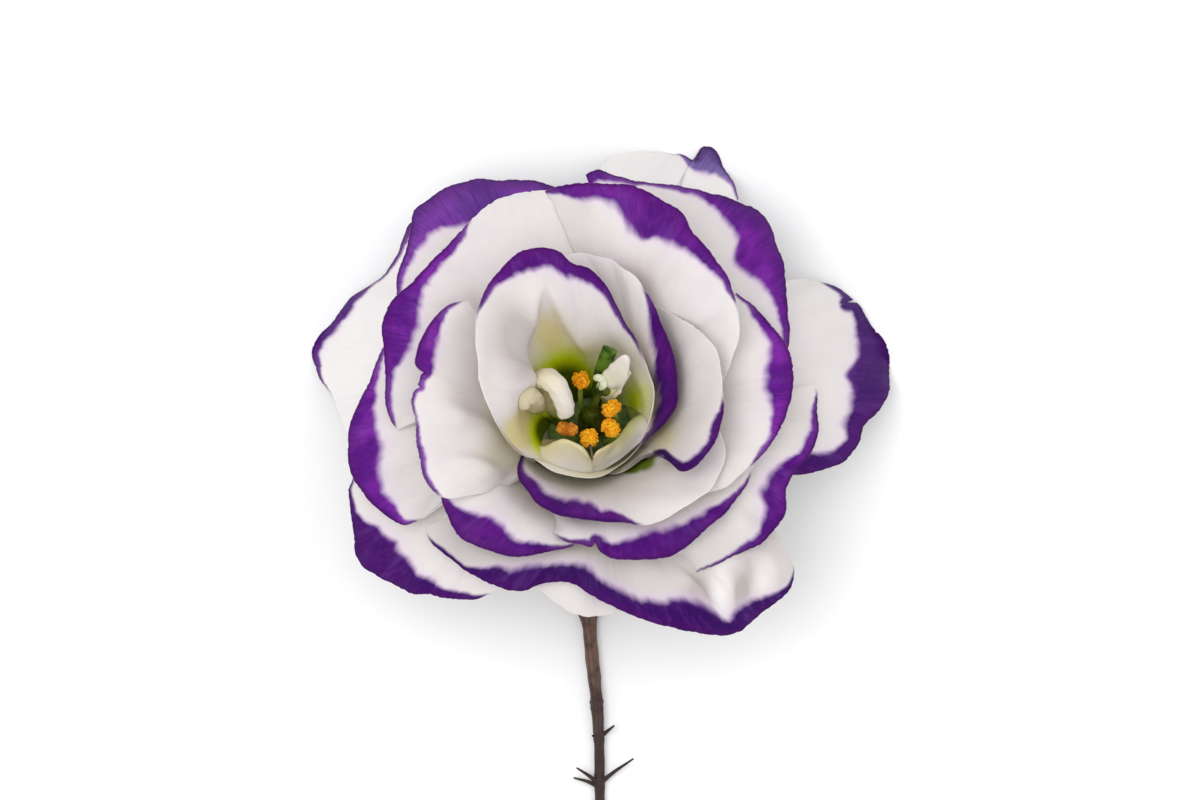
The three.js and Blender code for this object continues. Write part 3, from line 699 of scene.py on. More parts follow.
petal(2, "inner_petal_right", base=1, layers=(1, 0.35, 1.8), dusk=0.5, margin=[
    (-8.2, -3.6), (-6.6, -5), (-4.8, -5.8), (-2.6, -6.2), (-0.4, -6.3), (2, -5.5, 0.03), (4.6, -3.6, 0.22),
    (6.2, -2.2, 0.3), (7.5, -1.1, 0.6), (9.4, 0.6, 1.9), (10.6, 2.8, 2.5), (10.9, 5.1, 2.7), (10.5, 8.3, 2.6),
    (9.5, 11.4, 2.2), (8.4, 14.4, 1.2), (7, 16.8, 0.3), (5.4, 18.8), (2.7, 20.8), (0.4, 21.8), (-1.8, 22.2),
    (-4, 21.6),
], notches=[(7.2, -1.4, 0.5, 0.25)], tints=[
    (5, -0.4, 1.8, 2.4, KHAKI_AND_SHADE, 0.8), (2.6, 0, 2, 2.6, GREEN, 0.9), (-6.4, -2.4, 2.4, 1.8, GREEN, 0.4),
    # The negative painted shade tint paints light onto the shaded wall beside the anthers
    (0, -2, 4, 3, GREEN, 1.2), (6, 1.5, 2.6, 3.4, PAINTED_SHADE, -1.6), (5.7, 2.6, 2, 2.2, GREEN, 0.5),
])
# Painted shade greys this whole petal, and its khaki tint is painted shade in the valley below the inner
# right petal's rim
petal(3, "inner_petal_lower_right", base=2, layers=(1.1, 1.4, 1.7), flush=1.25, dusk=0.9, margin=[
    (1, -5.6), (2.8, -5.6, 0.1), (4.4, -5, 0.25), (5.9, -4, 0.25), (7.6, -3.5, 0.3), (9.1, -3.55, 0.6),
    (10.3, -4.7, 0.6), (11.5, -6, 1.1), (12.5, -5.9, 1.2), (14.1, -4.8, 1), (15.6, -2.5, 0.9), (16.6, 0.4, 1),
    (16.9, 2.9, 0.3), (16.6, 5), (16.2, 7.7), (15.1, 10.3), (13.4, 12.2), (11.4, 13.6), (9.2, 14.5),
    (7.2, 15.3),
], tints=[(9.2, -1, 2, 3, KHAKI_AND_SHADE, 0.7)])
petal(4, "inner_petal_bottom", base=2.9, layers=(1.5, 2, 2.3), dusk=0.5, cream=0.3, margin=[
    (-8.3, -3.4, 0.4), (-9.3, -5.3, 0.7), (-9.1, -7.3, 1.3), (-7.4, -9.5, 1.8), (-5.5, -10.8, 2.1),
    (-1.6, -12.1, 2.2), (2.3, -12.7, 1.5), (4.8, -12.7, 0.5), (7.3, -12.4), (10.1, -11.6), (12.9, -10.1),
    (15, -8.4), (16.3, -6), (17, -3.4), (16.4, -1),
# The olive patches are green base tissue darkened as painted shade at the foot of the cup
], tints=[(6.4, -4.8, 1.7, 1.3, OLIVE_AND_SHADE, 1.8), (5, -5.8, 1.5, 0.8, OLIVE_AND_SHADE, 1.6)])
petal(5, "inner_petal_left", base=1.9, layers=(1.5, 2, 2.4), margin=[
    (-15.9, 15.9), (-17.3, 15.7, 0.3), (-19.6, 14.3, 0.9), (-22.1, 10.7, 2.4), (-22.8, 8.2, 2.9),
    (-22.1, 6.2, 0.7), (-23, 3.2, 0.5), (-22.6, 0.6, 0.25), (-22.3, -3.4, 0.7), (-21.6, -6.8, 0.8),
    (-19.9, -9, 0.3), (-18, -9.6), (-15.8, -9.2), (-13.2, -8.6), (-10.8, -7.8), (-8.4, -6.4),
# Its khaki tint is painted shade in the valley towards the throat
], notches=[(-22, 6.9, 0.7, 0.5), (-22.4, 5, 0.5, 0.4)], tints=[(-12, -4.2, 4.5, 3.5, KHAKI_AND_SHADE, 0.35)], sinks=[
    (-16, -9.4, 2.4, 1.2), (-11, -7.7, 3, 1.7),
], folds=[
    ([(-19.5, 1.5), (-15.5, 0.6), (-12, -2.6)], 1, 1.1, 2.2),
    ([(-19.5, -5), (-16, -5), (-12.5, -6.4)], 0.8, 1, 1.6),
])
petal(6, "middle_petal_lower_left", base=4.5, layers=(2.9, 3.1, 3.4), dusk=0.5, margin=[
    (-19.6, -7.4), (-19.4, -9.4, 0.6), (-18.5, -11.8, 2.2), (-17.2, -14.2, 4.2), (-14.6, -15.7, 4.7),
    (-10.7, -16.9, 2.6), (-8.1, -17, 1.8), (-4.8, -16.1, 0.7), (-2.2, -15.3, 0.3), (-0.6, -14),
])
petal(7, "middle_petal_bottom", base=3.9, layers=(2.7, 3.2, 3.6), dusk=0.4, margin=[
    (-6.6, -11.4), (-5.5, -13.4), (-4, -14.4, 0.3), (-0.9, -15.3, 0.6), (1.2, -16.3, 1.2), (2.7, -17.2, 1.9),
    (6.5, -17.4, 2.8), (8.8, -17.2, 4.2), (10.7, -16.5, 3.7), (12.9, -15, 2.7), (14.4, -13.7, 1.7),
    (17, -11.8, 1.5), (18.6, -9.6, 0.9), (20.2, -7.3, 0.4), (20.9, -5),
# A negative painted shade tint paints light over the shade below the inner bottom petal's rim
], notches=[(0.5, -15.8, 1.2, 0.45)], tints=[(1, -13.8, 3.5, 1.4, PAINTED_SHADE, -1)], sinks=[(-6, -12.6, 2.2, 3.6)])
petal(8, "middle_petal_right", base=3.6, layers=(2.8, 3.1, 3.7), margin=[
    (14.2, -8.8), (17, -8.1), (19.6, -5.9), (21.1, -4.7, 0.4), (23.9, -1.2, 1.2), (25.2, 1.7, 2.4),
    (26, 4.9, 3.6), (25.9, 7.7, 3.5), (25.2, 10.1, 2.6), (23.4, 12.7, 1.7), (20.9, 15.5, 0.8),
    (18.7, 17, 0.3),
])
petal(9, "middle_petal_top", base=2.9, layers=(2.7, 2.1, 2.62), dusk=0.3, margin=[
    (15.7, 3.6), (17.3, 6.5), (18.2, 9), (19, 12.2), (18.6, 15.7, 0.2), (17.6, 18.6, 1.1), (15.5, 21.7, 1.6),
    (12.7, 25.2, 2.9), (11.7, 27.4, 5), (9.1, 29, 6.4), (5.6, 30.7, 5.2), (1.8, 31.1, 2.2), (-1.6, 31.2, 2),
    (-4.2, 30.9, 1.2), (-6.1, 30.2, 0.4),
# Painted shade greys it near the throat
], tints=[(6, 17.6, 2.6, 3.4, PAINTED_SHADE, 1)], sinks=[
    (-5.2, 28.4, 1.4, 0.35), (-3.8, 25, 1.4, 0.35), (-2.6, 22, 1.4, 0.35),
])
petal(10, "middle_petal_left", base=2.9, layers=(2.7, 2.6, 3.3), margin=[
    (3, 27.4), (-0.8, 29), (-4.2, 30), (-6.1, 30.4), (-9.4, 30), (-12.5, 29), (-15.1, 27), (-16.2, 26, 0.3),
    (-17.6, 24.6, 1), (-19.4, 22.6, 1.2), (-23.1, 18.5, 1.8), (-26, 16, 4.4), (-27.2, 12.6, 5.5),
    (-27, 10.1, 3.4), (-26.7, 6, 0.9), (-26.7, 2.9, 1), (-26.1, 0.7, 0.6), (-25, -0.8),
], sinks=[(-25.2, -0.8, 1.8, 2)])
petal(11, "outer_petal_upper_left", base=4, layers=(3.7, 3.7, 3.7), dusk=-0.17, margin=[
    (-3, 29.8, 0.3), (-5.1, 31, 2), (-7.4, 31.7, 3), (-10.1, 32, 4), (-15.5, 31.6, 6), (-19.4, 30.8, 5.6),
    (-21.5, 29.5, 5.2), (-23.3, 28, 4.6), (-23.6, 25.4, 2.8), (-24.2, 22.6, 1.7), (-25.4, 19.1, 1.2),
    (-25.4, 16.8, 0.6), (-24.6, 15),
])
petal(12, "guard_petal_left", base=5, layers=(5.3, 6.5, 6.3), flush=-0.2, dusk=0.4, margin=[
    (-22, 27, 2), (-23.7, 26.2, 1.5), (-24.7, 24.4, 0.7), (-25.5, 22.1, 0.5), (-27, 19.9, 0.35),
    (-29, 18.3, 0.3), (-31.9, 16.3, 1.1), (-33.9, 13.5, 1.3), (-35.7, 11.4, 1.2), (-36.5, 9.8, 1.2),
    (-36.3, 8, 0.9), (-35.6, 5.9, 0.4), (-33.9, 3.3, 0.15), (-31.9, -0.8), (-30.4, -3),
])
petal(13, "outer_petal_left", base=3.9, layers=(3.5, 4.1, 3.8), margin=[
    (-26.1, 10.9, 0.4), (-27, 10, 0.6), (-28.7, 6.4, 0.9), (-30, 3.3, 1.8), (-31.6, -0.5, 4.7),
    (-31.9, -3.9, 4.4), (-31.3, -6.5, 3.8), (-29.9, -8.4, 3.1), (-28.5, -10.4, 2.3), (-26.9, -11.8, 2),
    (-25, -12.9, 1.3), (-23.6, -13, 0.5), (-21.4, -11.8), (-19.4, -9.9),
], sinks=[(-20.6, -11, 2.2, 1)])
petal(14, "outer_petal_lower_left", base=6, layers=(4.6, 5, 5.1), dusk=0.9, margin=[
    (-31, -7, 0.3), (-31.6, -8.7, 0.5), (-31.4, -11.6, 1), (-31.3, -13.2, 1.8), (-31.1, -14.6, 5),
    (-30.6, -17.2, 5.9), (-28.5, -19.3, 5.6), (-26.4, -20.7, 4.6), (-23.9, -22, 2.8), (-20.5, -22.4, 1.5),
    (-17.7, -22.8, 1.1), (-14.8, -22.5, 0.5), (-13.1, -21.8, 0.1), (-11.5, -20.6),
])
petal(15, "outer_petal_bottom", base=5.5, layers=(3.9, 4.5, 5.1), flush=1.5, dusk=1, margin=[
    (-18.7, -11.3), (-21.4, -13.6), (-20.7, -15.5, 0.4), (-19.6, -16.4, 0.5), (-16.8, -18.6, 0.4),
    (-14.8, -19.8, 1.5), (-12.9, -20.8, 2.3), (-10.6, -21.6, 2.6), (-8.3, -21.6, 2.9), (-6.9, -20.9, 2.5),
    (-5.2, -20.3, 2), (-2.6, -20.5, 2.8), (-0.4, -22, 2.4), (1.6, -23.1, 2.3), (6.5, -25.1, 2.5),
    (10.7, -26.5, 3.8), (14.4, -27.3, 3.9), (17.8, -27.3, 1.3), (20, -26.4, 2.4), (22.4, -24.8, 2.3),
    (24.8, -23.1, 1.2), (26, -21.6, 0.7), (26.2, -19.5, 0.3), (25.7, -17.3), (24.7, -15.2), (23.6, -13.6),
], tints=[
    # Painted light on the folds' ridges and painted shade in the valleys between them
    (16.7, -21.6, 1.3, 3.4, PAINTED_SHADE, -1.4), (19.3, -21.8, 0.9, 2.6, PAINTED_SHADE, 1.2),
    (13.4, -21.4, 1.5, 1.8, PAINTED_SHADE, 0.8), (22.3, -20.6, 1.6, 2.8, PAINTED_SHADE, -1.2),
], folds=[
    ([(11, -19), (13.6, -21.6), (16, -26)], 1.8, 0.7, 2.2),
    ([(19, -17.4), (20.4, -21), (21.6, -24.6)], 1.4, 0.8, 1.4),
    ([(16.4, -18.8), (18.2, -22), (19, -25)], 0.8, 0.5, 0.8),
    ([(22.5, -16.5), (24, -19), (24.8, -21.5)], 0.9, 0.6, 1),
])
petal(16, "outer_petal_right", base=4.8, layers=(4.2, 4.4, 4.5), dusk=0.3, margin=[
    (10.6, -15.6), (11.2, -17.6), (12, -18.8), (13, -19.3, 0.2), (15.5, -18.4, 0.35), (17.6, -17.4, 0.4),
    (19.8, -16.5, 0.8), (21.8, -15.7, 1.3), (23.4, -14.2, 1.9), (24.7, -12.4, 2.6), (25.1, -10.4, 3.2),
    (25.1, -8.4, 3.3), (25.9, -6.6, 2), (28.5, -3.8, 1.3), (29.5, -2, 1.6), (29.7, 0.6, 1.2),
    (29.4, 3.4, 0.4), (28.6, 5.2),
], sinks=[(12, -18.8, 2.4, 2.8), (10.6, -16.6, 1.6, 1.4)])
petal(17, "guard_petal_right", base=5.6, layers=(5.7, 5.7, 5.9), flush=0.7, dusk=0.8, margin=[
    (24.6, -6.2, 1.5), (26.1, -6.7, 2.4), (28.2, -6.5, 2.6), (30.8, -5.7, 1.9), (33, -4.7, 1.7),
    (34.8, -2.2, 2.2), (35.6, -0.1, 2.9), (37.4, 1.7, 4.7), (38.5, 3.6, 5.4), (38.9, 6.1, 6.2),
    (38.9, 8.7, 5.4), (38.1, 11, 4.2), (36.1, 13.4, 2), (34.6, 15.7, 1), (32.9, 17.3, 1), (31.1, 18.3, 0.5),
    (29.8, 18.9, 0.1), (27.6, 19.2), (25.5, 18.7),
], notches=[(34.3, 15.9, 1.3, 0.32)])
petal(18, "outer_petal_upper_right", base=4.3, layers=(4.6, 4.1, 3.6), margin=[
    (25, 8.8, 0.8), (25.6, 10.4, 0.9), (25.5, 14.3, 1.3), (25.2, 18, 2.5), (24.8, 21.4, 6), (23.7, 24.4, 6.2),
    (22.8, 26.6, 5.3), (21.4, 28.2, 4.6), (19.6, 29, 3.5), (17.6, 29.8, 2.3), (14.3, 30.4, 1),
    (11.7, 30.9, 0.8), (7.7, 31.3, 0.6), (5.1, 32, 0.7), (2.5, 32.6, 0.9), (0.8, 33, 1.2), (-0.8, 32.4, 2),
])
petal(19, "guard_petal_top", base=5.4, layers=(4.9, 4.9, 4.9), flush=0.2, dusk=-1, margin=[
    (19, 29.2, 0.3), (18.4, 31.4, 0.5), (17.2, 33.7, 1.8), (15.7, 36, 4.6), (14.4, 36.2, 4.4),
    (13.4, 34.6, 1.4), (11.7, 35.4, 0.2), (9.1, 35.6, 0.1), (5.6, 35.7), (2.7, 34.8), (1, 33.4), (-0.9, 31.4),
])
petal(20, "guard_petal_bottom", base=6.6, layers=(5.5, 5.5, 5.5), margin=[
    (-8.4, -19.2), (-7.1, -21.2), (-5.4, -22.8), (-4, -23.8), (-2.1, -24.7), (0.5, -24.9), (3, -24.3),
    (4.6, -22.8),
])


# Tubes: petaloids, leaflet, filaments, style and stem

X_AXIS = (1, 0, 0)
Z_AXIS = (0, 0, 1)
NO_MARGIN = (9, 0, 0)
NO_TONE = ((0, 0, 0),)
# Painted shade on the whites of the petaloids and lips
PETALOID_PAINTED_SHADE = 0.9
LEAST_END = 0.0004


def above(path):
    """Heights measured from the petals' base"""
    return np.array(path) + (0, 0, BASE_CENTRE[2])


def tube(path, widths, depths, side, steps, sides, swell=None, round_ends=0, lies=False):
    """Grid points of a tube along a curve, with its half-widths towards side and half-depths square to it"""
    curve = smooth_curve(path)
    length = curve[1][-1]
    share = shares(steps + 1)
    centre = on_curve(curve, share)
    half_width, half_depth = (np.interp(share, shares(len(part)), part) for part in (widths, depths))
    if lies:
        centre[:, 2] = np.maximum(centre[:, 2], half_depth)
    if round_ends:
        from_end = np.clip(1 - np.minimum(share, 1 - share) * length / round_ends, 0, 1)
        rounding = np.sqrt(np.clip(1 - from_end**2, LEAST_END, 1))
        half_width, half_depth = half_width * rounding, half_depth * rounding
    tangent = unit(np.gradient(centre, axis=0))
    first = unit(side - tangent * (tangent @ side)[:, None])
    second = np.cross(tangent, first)
    angle = tau * shares(sides + 1)[:-1]
    rim = swell(share[:, None] * length, angle) if swell else 1
    points = centre[:, None] + first[:, None] * (half_width[:, None] * np.cos(angle) * rim)[..., None]
    points = points + second[:, None] * (half_depth[:, None] * np.sin(angle) * rim)[..., None]
    if lies:
        points[..., 2] = np.maximum(points[..., 2], 0)
    return points, centre


def add_tube(body, path, widths, side, steps, sides, depths=None, kind=0, seed=0, tones=NO_TONE,
             flush=PETALOID_PAINTED_SHADE, **options):
    """Adds a closed tube, with tones at even stations along it"""
    depths = depths or widths
    points, centre = tube(path, widths, depths, side, steps, sides, **options)
    index = np.arange((steps + 1) * sides).reshape(steps + 1, sides)
    last = index.size
    fans = [[last, q, p] for p, q in zip(index[0], np.roll(index[0], -1))]
    fans += [[last + 1, p, q] for p, q in zip(index[-1], np.roll(index[-1], -1))]
    around = shares(sides + 1)[:-1] * tau * max(*widths, *depths)
    values = joined(around, shares(steps + 1)[:, None], seed).reshape(-1, 3)
    values = np.vstack([values, [[0, 0, seed], [0, 1, seed]]])
    tone = joined(*[np.interp(values[:, 1], shares(len(tones)), column) for column in zip(*tones)])
    margin, flush = (np.tile(plain, (len(values), 1)) for plain in (NO_MARGIN, (flush, 0, 0)))
    body.add(np.vstack([points.reshape(-1, 3), centre[0], centre[-1]]), ring_quads(index) + fans, kind,
             blade=values, margin=margin, tone=tone, flush=flush)


def petaloid(order, node, path, widths, depths, side, tones, flush=PETALOID_PAINTED_SHADE, flange=None):
    """A tube-shaped petal, with a thin flange along one edge if there is one"""
    phase = np.random.default_rng(100 + order).uniform(0, tau)

    def creased(place, angle):
        waves = 0.05 * np.sin(3 * angle + phase + place * 0.2) + 0.03 * np.sin(7 * angle - phase)
        return 1 + waves + 0.06 * np.sin(2.9 * place + 2 * angle + phase) * np.sin(0.9 * place + angle)

    body = Body()
    add_tube(body, above(path), widths, side, 110, 40, depths, seed=40 + order, tones=tones, flush=flush,
             swell=creased, round_ends=0.9)
    if flange:
        add_tube(body, above(flange), (0.15, 0.5, 0.6, 0.35), side, 60, 20, (0.15, 0.3, 0.3, 0.2), seed=50,
                 tones=((0.34, 0.1, 1), (0.24, 0, 1), (0.16, 0, 0.8)), round_ends=0.3)
    make_piece(node, body, [PETAL])


petaloid(0, "petaloid_arched", path=[
    (-3.3, 0.4, 0.5), (-5, 1.8, 6), (-6.6, 3.8, 11.2), (-6.9, 5.3, 14), (-6.1, 6, 15.8), (-4.9, 5.2, 16.6),
    (-3.9, 3.6, 16.4), (-3.4, 2, 15.6), (-3.2, 1, 14.4),
], tones=[
    (1, 0.5, 1), (0.6, 0.9, 1), (0.1, 0.95, 1), (0, 1, 1), (0, 0.95, 1), (0, 0.4, 1), (0, 0.05, 0.5),
    (0, 0.2, 0.6),
], widths=(0.5, 0.6, 0.8, 0.95, 1.35, 1.5, 1.45, 1.3, 1.15),
    depths=(0.4, 0.5, 0.6, 0.7, 0.95, 1.1, 1.15, 1, 0.75), side=(0.75, 0.66, 0), flush=1.1)
# The curl is painted grey and khaki as painted shade
petaloid(1, "petaloid_curled", path=[
    (-3.3, -1.2, 0.8), (-5.4, 0.8, 5), (-6.8, 2, 9), (-7.4, 2.7, 13), (-7.7, 3.4, 16), (-8.2, 3.6, 17.4),
    (-8.8, 2.9, 17.8), (-8.6, 2, 17.2),
], tones=[
    (1.2, 0.6, 1), (1.2, 0.6, 1), (0.5, 0.9, 1), (0, 0.7, 0.3), (0, 0.6, 0), (0, 0.55, 0),
], widths=(0.3, 0.35, 0.4, 0.6, 1.2, 1.5, 1.4, 1.1), depths=(0.3, 0.35, 0.4, 0.6, 1, 1.3, 1.2, 1),
    side=X_AXIS, flush=1.9)
petaloid(2, "petaloid_right", path=[
    (2, 1.6, 0.3), (2, 3, 6), (1.8, 3.9, 10), (2.6, 5.4, 12.8), (3.8, 7.3, 15.5), (4.5, 8.9, 17.2),
], tones=[
    (0.8, 0.4, 1), (0.5, 0.2, 1), (0.2, 0, 1), (0.06, 0, 0.8), (0.03, 0, 0.4),
], widths=(0.6, 0.7, 0.8, 1.3, 1.7, 1.4, 0.55), depths=(0.35, 0.4, 0.45, 0.5, 0.5, 0.45, 0.35),
    side=(0.87, -0.5, 0), flange=[(0.5, 3.5, 10.6), (2, 4, 11.6), (3.5, 5.2, 13.2), (4.9, 6.9, 15)])

# A dark green blade where the throat shows a deep dark gap: partly a leaf-like petaloid, partly a painted
# shadow
leaflet = Body()
add_tube(leaflet, above([(0.6, 2.5, 0.2), (0.8, 4.7, 6), (1.3, 7, 11.5), (2.4, 9.9, 16.2)]),
         (0.6, 0.8, 0.85, 1, 1), (1, -0.3, 0.3), 60, 28, (0.3, 0.35, 0.35, 0.3, 0.25), round_ends=0.2)
make_piece("green_leaflet", leaflet, [LEAFLET])


# Lip petals: each rises from its root to an edge and laps over outward. Shade is how much painted shade greys
# and greens its inside at its two ends.

LIP_COLUMNS = 70
LIP_ROWS = 80
LIP_LENGTH = 20
LIP_SWELL = 0.1
LIP_SWELL_LENGTH = 4
LIP_HALVES = (0.2, 0.1)
LIP_UNDER = (0.85, 0.3)
LIP_OVER = (0.25, 0.35)
TURNING_ROWS = 20


def lip_petal(order, node, shade, root, edge, lap):
    rng = np.random.default_rng(200 + order)
    across, along = shares(LIP_COLUMNS + 1), shares(LIP_ROWS + 1)
    curves = [smooth_curve(above(line)) for line in (root, edge, lap)]
    root, edge, lap = (on_curve(curve, across) for curve in curves)
    under = mix(root, edge, LIP_UNDER[0]) + (0, 0, LIP_UNDER[1])
    over = mix(edge, lap, LIP_OVER[0]) + (0, 0, LIP_OVER[1])
    points = np.stack([on_curve(smooth_curve(path), along) for path in zip(root, under, edge, over, lap)])
    place = (across * curves[1][1][-1])[:, None]
    push = LIP_SWELL * along * ripple(rng, LIP_SWELL_LENGTH, place, LIP_LENGTH * along)
    points = points + grid_normals(points) * push[..., None]
    turned = np.linalg.norm(points - edge[:, None], axis=2).argmin(1)
    outer = np.clip((np.arange(LIP_ROWS + 1) - turned[:, None]) / TURNING_ROWS, 0, 1)
    inner = (1 - outer) * mix(*shade, across)[:, None]
    body = Body()
    blade(
        body, points, mix(*LIP_HALVES, along)[None, :, None], blade=joined(place, along, 60 + order),
        tone=joined(0.3 * inner, mix(0.75, 0.05, outer), mix(1, 0.25, outer)),
        flush=joined(PETALOID_PAINTED_SHADE + inner, 0, 0), margin=np.tile(NO_MARGIN, (*push.shape, 1)),
    )
    make_piece(node, body, [PETAL], keep_uv=True)


lip_petal(0, "lip_petal_left", shade=(0.3, 0), root=[
    (-3, -2.3, 0.9), (-2.3, -3.2, 1.1), (-1.3, -3.8, 1.3), (-0.7, -4, 1.3),
], edge=[
    (-9.6, -1.8, 16.4), (-8.2, -2.7, 15), (-6.6, -3.1, 14.2), (-4.9, -2.5, 15.4), (-3.5, -2.1, 16.3),
    (-1.6, -2.9, 15.9), (-0.2, -4.6, 14.4),
], lap=[
    (-9.2, -3, 15.6), (-7.4, -4.5, 14.4), (-5.4, -5.7, 13.1), (-3.4, -6.3, 12), (-1.6, -6.5, 10.8),
    (0.2, -6.4, 9.6),
])
lip_petal(1, "lip_petal_right", shade=(0, 1), root=[
    (0.4, -4.1, 1.3), (1.3, -3.8, 1.3), (2.3, -3.2, 1.1), (2.9, -2.5, 0.9),
], edge=[
    (0, -4.7, 13.4), (0.7, -3.6, 13.6), (1.8, -3, 12.4), (3.2, -2.1, 10), (4.3, -0.7, 7.6), (5.3, 0.6, 6.4),
    (6.6, 1.4, 6.6),
], lap=[
    (-0.2, -6.4, 9.7), (1.6, -5.8, 8.2), (3.4, -4.6, 7.4), (5.2, -3.2, 7), (6.6, -2, 7), (7.5, -1.1, 7.6),
    (8.4, 0, 8.6),
])


# Stamens, each with its filament's path, its anther's size and its anther's turn in degrees

STAMENS = [
    ([(-1.1, 1.8, 0.4), (-1.5, 3.4, 6), (-1.4, 5.7, 11.8)], (1.15, 1.25, 1), 20),
    ([(2.9, -0.5, 0.8), (3.1, 0.8, 6), (2.5, 2, 11.6)], (1.35, 1.05, 1), 35),
    ([(1.8, -2.2, 1.2), (3, -2, 7), (2.4, -0.5, 12.2)], (1.3, 1.15, 1), -50),
    ([(-0.3, -2.9, 1.2), (-0.3, -3, 7), (-0.4, -1.8, 12)], (1.2, 1.3, 1), 0),
    ([(-1.9, -1.9, 1.1), (-3.2, -1.5, 6), (-3.2, -0.6, 12.2)], (1.5, 0.95, 0.8), -8),
]
THREADED = 3
FADED = 4
FILAMENT_RADII = (0.42, 0.34, 0.3)
THREAD = [(-0.3, -2.4, 12), (-0.1, -3.3, 13.6), (0.1, -4.6, 14.6)]
THREAD_RADII = (0.2, 0.12, 0.1)
GRAINS = 190
GRAIN_RADIUS = (0.12, 0.26)
CORE_SHARE = 0.86
GROOVE_WIDTH = 0.22
LUMP = 0.07
LUMP_LENGTH = 0.9


def ball(level):
    """Points and triangles of a sphere of radius 1"""
    shape = bmesh.new()
    bmesh.ops.create_icosphere(shape, subdivisions=level, radius=1)
    shape.verts.index_update()
    points = np.array([v.co for v in shape.verts])
    faces = [[v.index for v in face.verts] for face in shape.faces]
    shape.free()
    return points, faces


GRAIN = ball(2)
CORE = ball(4)


def add_anther(body, centre, size, turn, rng):
    """Two lobes side by side, covered in grains"""
    along, aside = cos(radians(turn)), sin(radians(turn))
    spin = np.array([[along, aside, 0], [-aside, along, 0], [0, 0, 1]])
    points, faces = CORE
    x, y, z = points.T
    lumps = LUMP * ripple(rng, LUMP_LENGTH, x, y) + LUMP * ripple(rng, LUMP_LENGTH, z, x)
    lumpy = 1 - 0.22 * bell(x, GROOVE_WIDTH) + lumps
    body.add(points * lumpy[:, None] * size * CORE_SHARE @ spin + centre, faces, 1)
    for _ in range(GRAINS):
        way = unit(rng.normal(size=3))
        grain = rng.uniform(*GRAIN_RADIUS)
        squash = rng.uniform(0.6, 1.3, 3)
        sunk = 1 - 0.2 * bell(way[0], GROOVE_WIDTH)
        place = way * (np.array(size) * rng.uniform(0.8, 1) * sunk - grain * 0.3)
        body.add(GRAIN[0] * grain * squash + place @ spin + centre, GRAIN[1], 1)


def stamen(order, path, size, turn):
    rng = np.random.default_rng(300 + order)
    body = Body()
    add_tube(body, above(path), FILAMENT_RADII, X_AXIS, 40, 16, seed=70 + order)
    add_anther(body, above(path)[-1], size, turn, rng)
    if order == THREADED:
        add_tube(body, above(THREAD), THREAD_RADII, X_AXIS, 30, 12, kind=2, seed=9)
    pollen = POLLEN_OLD if order == FADED else POLLEN
    make_piece(f"stamen_{order + 1}", body, [FILAMENT, pollen, BARK])


for order, (path, size, turn) in enumerate(STAMENS):
    stamen(order, path, size, turn)


# Pistil

OVARY_RADII = (1.3, 1.9, 1.9, 1.5, 0.6)
STYLE_RADII = (0.6, 0.5, 0.45)
CURL_RADII = (0.42, 0.5, 0.52, 0.45)
CURL_PATH = [(1.1, 4.5, 12), (1.5, 5.1, 12.8), (1.3, 5.8, 13.3), (0.7, 6, 13.4), (0.4, 5.7, 13.1)]
SPUR_PATH = [(0.9, 4.4, 11.8), (1.7, 4.1, 12.4), (2.2, 4.5, 12.8)]


def grooved(place, angle):
    return 1 - 0.05 * np.cos(angle) ** 6 * np.ones_like(place)


pistil = Body()
add_tube(pistil, above([(0, -0.65, 0.1), (0, 0.6, 5), (0.1, 1.6, 9)]), OVARY_RADII, X_AXIS, 50, 40,
         swell=grooved, round_ends=0.5)
add_tube(pistil, above([(0.1, 1.4, 8), (0.5, 3, 10.5), (1.1, 4.6, 12.2)]), STYLE_RADII, X_AXIS, 30, 20)
add_tube(pistil, above(CURL_PATH), CURL_RADII, Z_AXIS, 50, 20, kind=1, round_ends=0.4)
add_tube(pistil, above(SPUR_PATH), CURL_RADII, Z_AXIS, 40, 20, round_ends=0.4)
make_piece("pistil", pistil, [OVARY, STIGMA])


# Calyx: the receptacle, a turned profile of radius and height, and five sepals

RECEPTACLE = [(0, -4.65), (1.8, -4.65), (4.2, -4.1), (8, -2.9), (10.3, -1.6), (10.6, -0.5), (0, -0.5)]
RECEPTACLE_RINGS = 60
RECEPTACLE_SIDES = 90
POLE_RADIUS = 0.01
SEPALS = 5
SEPAL_LAYER = 7.8
SEPAL_WIDTHS = (4.2, 0.5)
SEPAL_ENDS = (-0.03, 0.47)
SEPAL_HALVES = (0.42, 0.14)
KEEL = 0.35
KEEL_WIDTH = 0.16


def add_receptacle(body):
    share = shares(RECEPTACLE_RINGS)
    radius, height = on_curve(measured(np.array(RECEPTACLE)), share).T[..., None]
    radius[[0, -1]] = POLE_RADIUS
    angle = tau * shares(RECEPTACLE_SIDES + 1)[:-1]
    folds = 1 + 0.015 * np.cos(SEPALS * 4 * angle) * smoothstep(radius, 2, 6)
    points = leaned(radius * np.cos(angle) * folds, radius * np.sin(angle) * folds, height)
    index = np.arange(folds.size).reshape(folds.shape)
    caps = [index[0][::-1].tolist(), index[-1].tolist()]
    body.add(points, ring_quads(index) + caps, blade=joined(angle * 8, share[:, None], 3))


def add_sepal(body, order):
    across, along = np.linspace(-0.5, 0.5, 19)[:, None], shares(71)
    t = mix(*SEPAL_ENDS, along)
    width = mix(*SEPAL_WIDTHS, along**1.6)
    turn = across * width / sheet_profile(SEPAL_LAYER, t)[0]
    keel = -KEEL * bell(across, KEEL_WIDTH) * (1 - along)
    points = sheet_point(tau * (order + 0.25) / SEPALS + turn, t, SEPAL_LAYER, keel)
    half = mix(*SEPAL_HALVES, along)[None, :, None]
    blade(body, points, half, blade=joined(across * width, along, order))


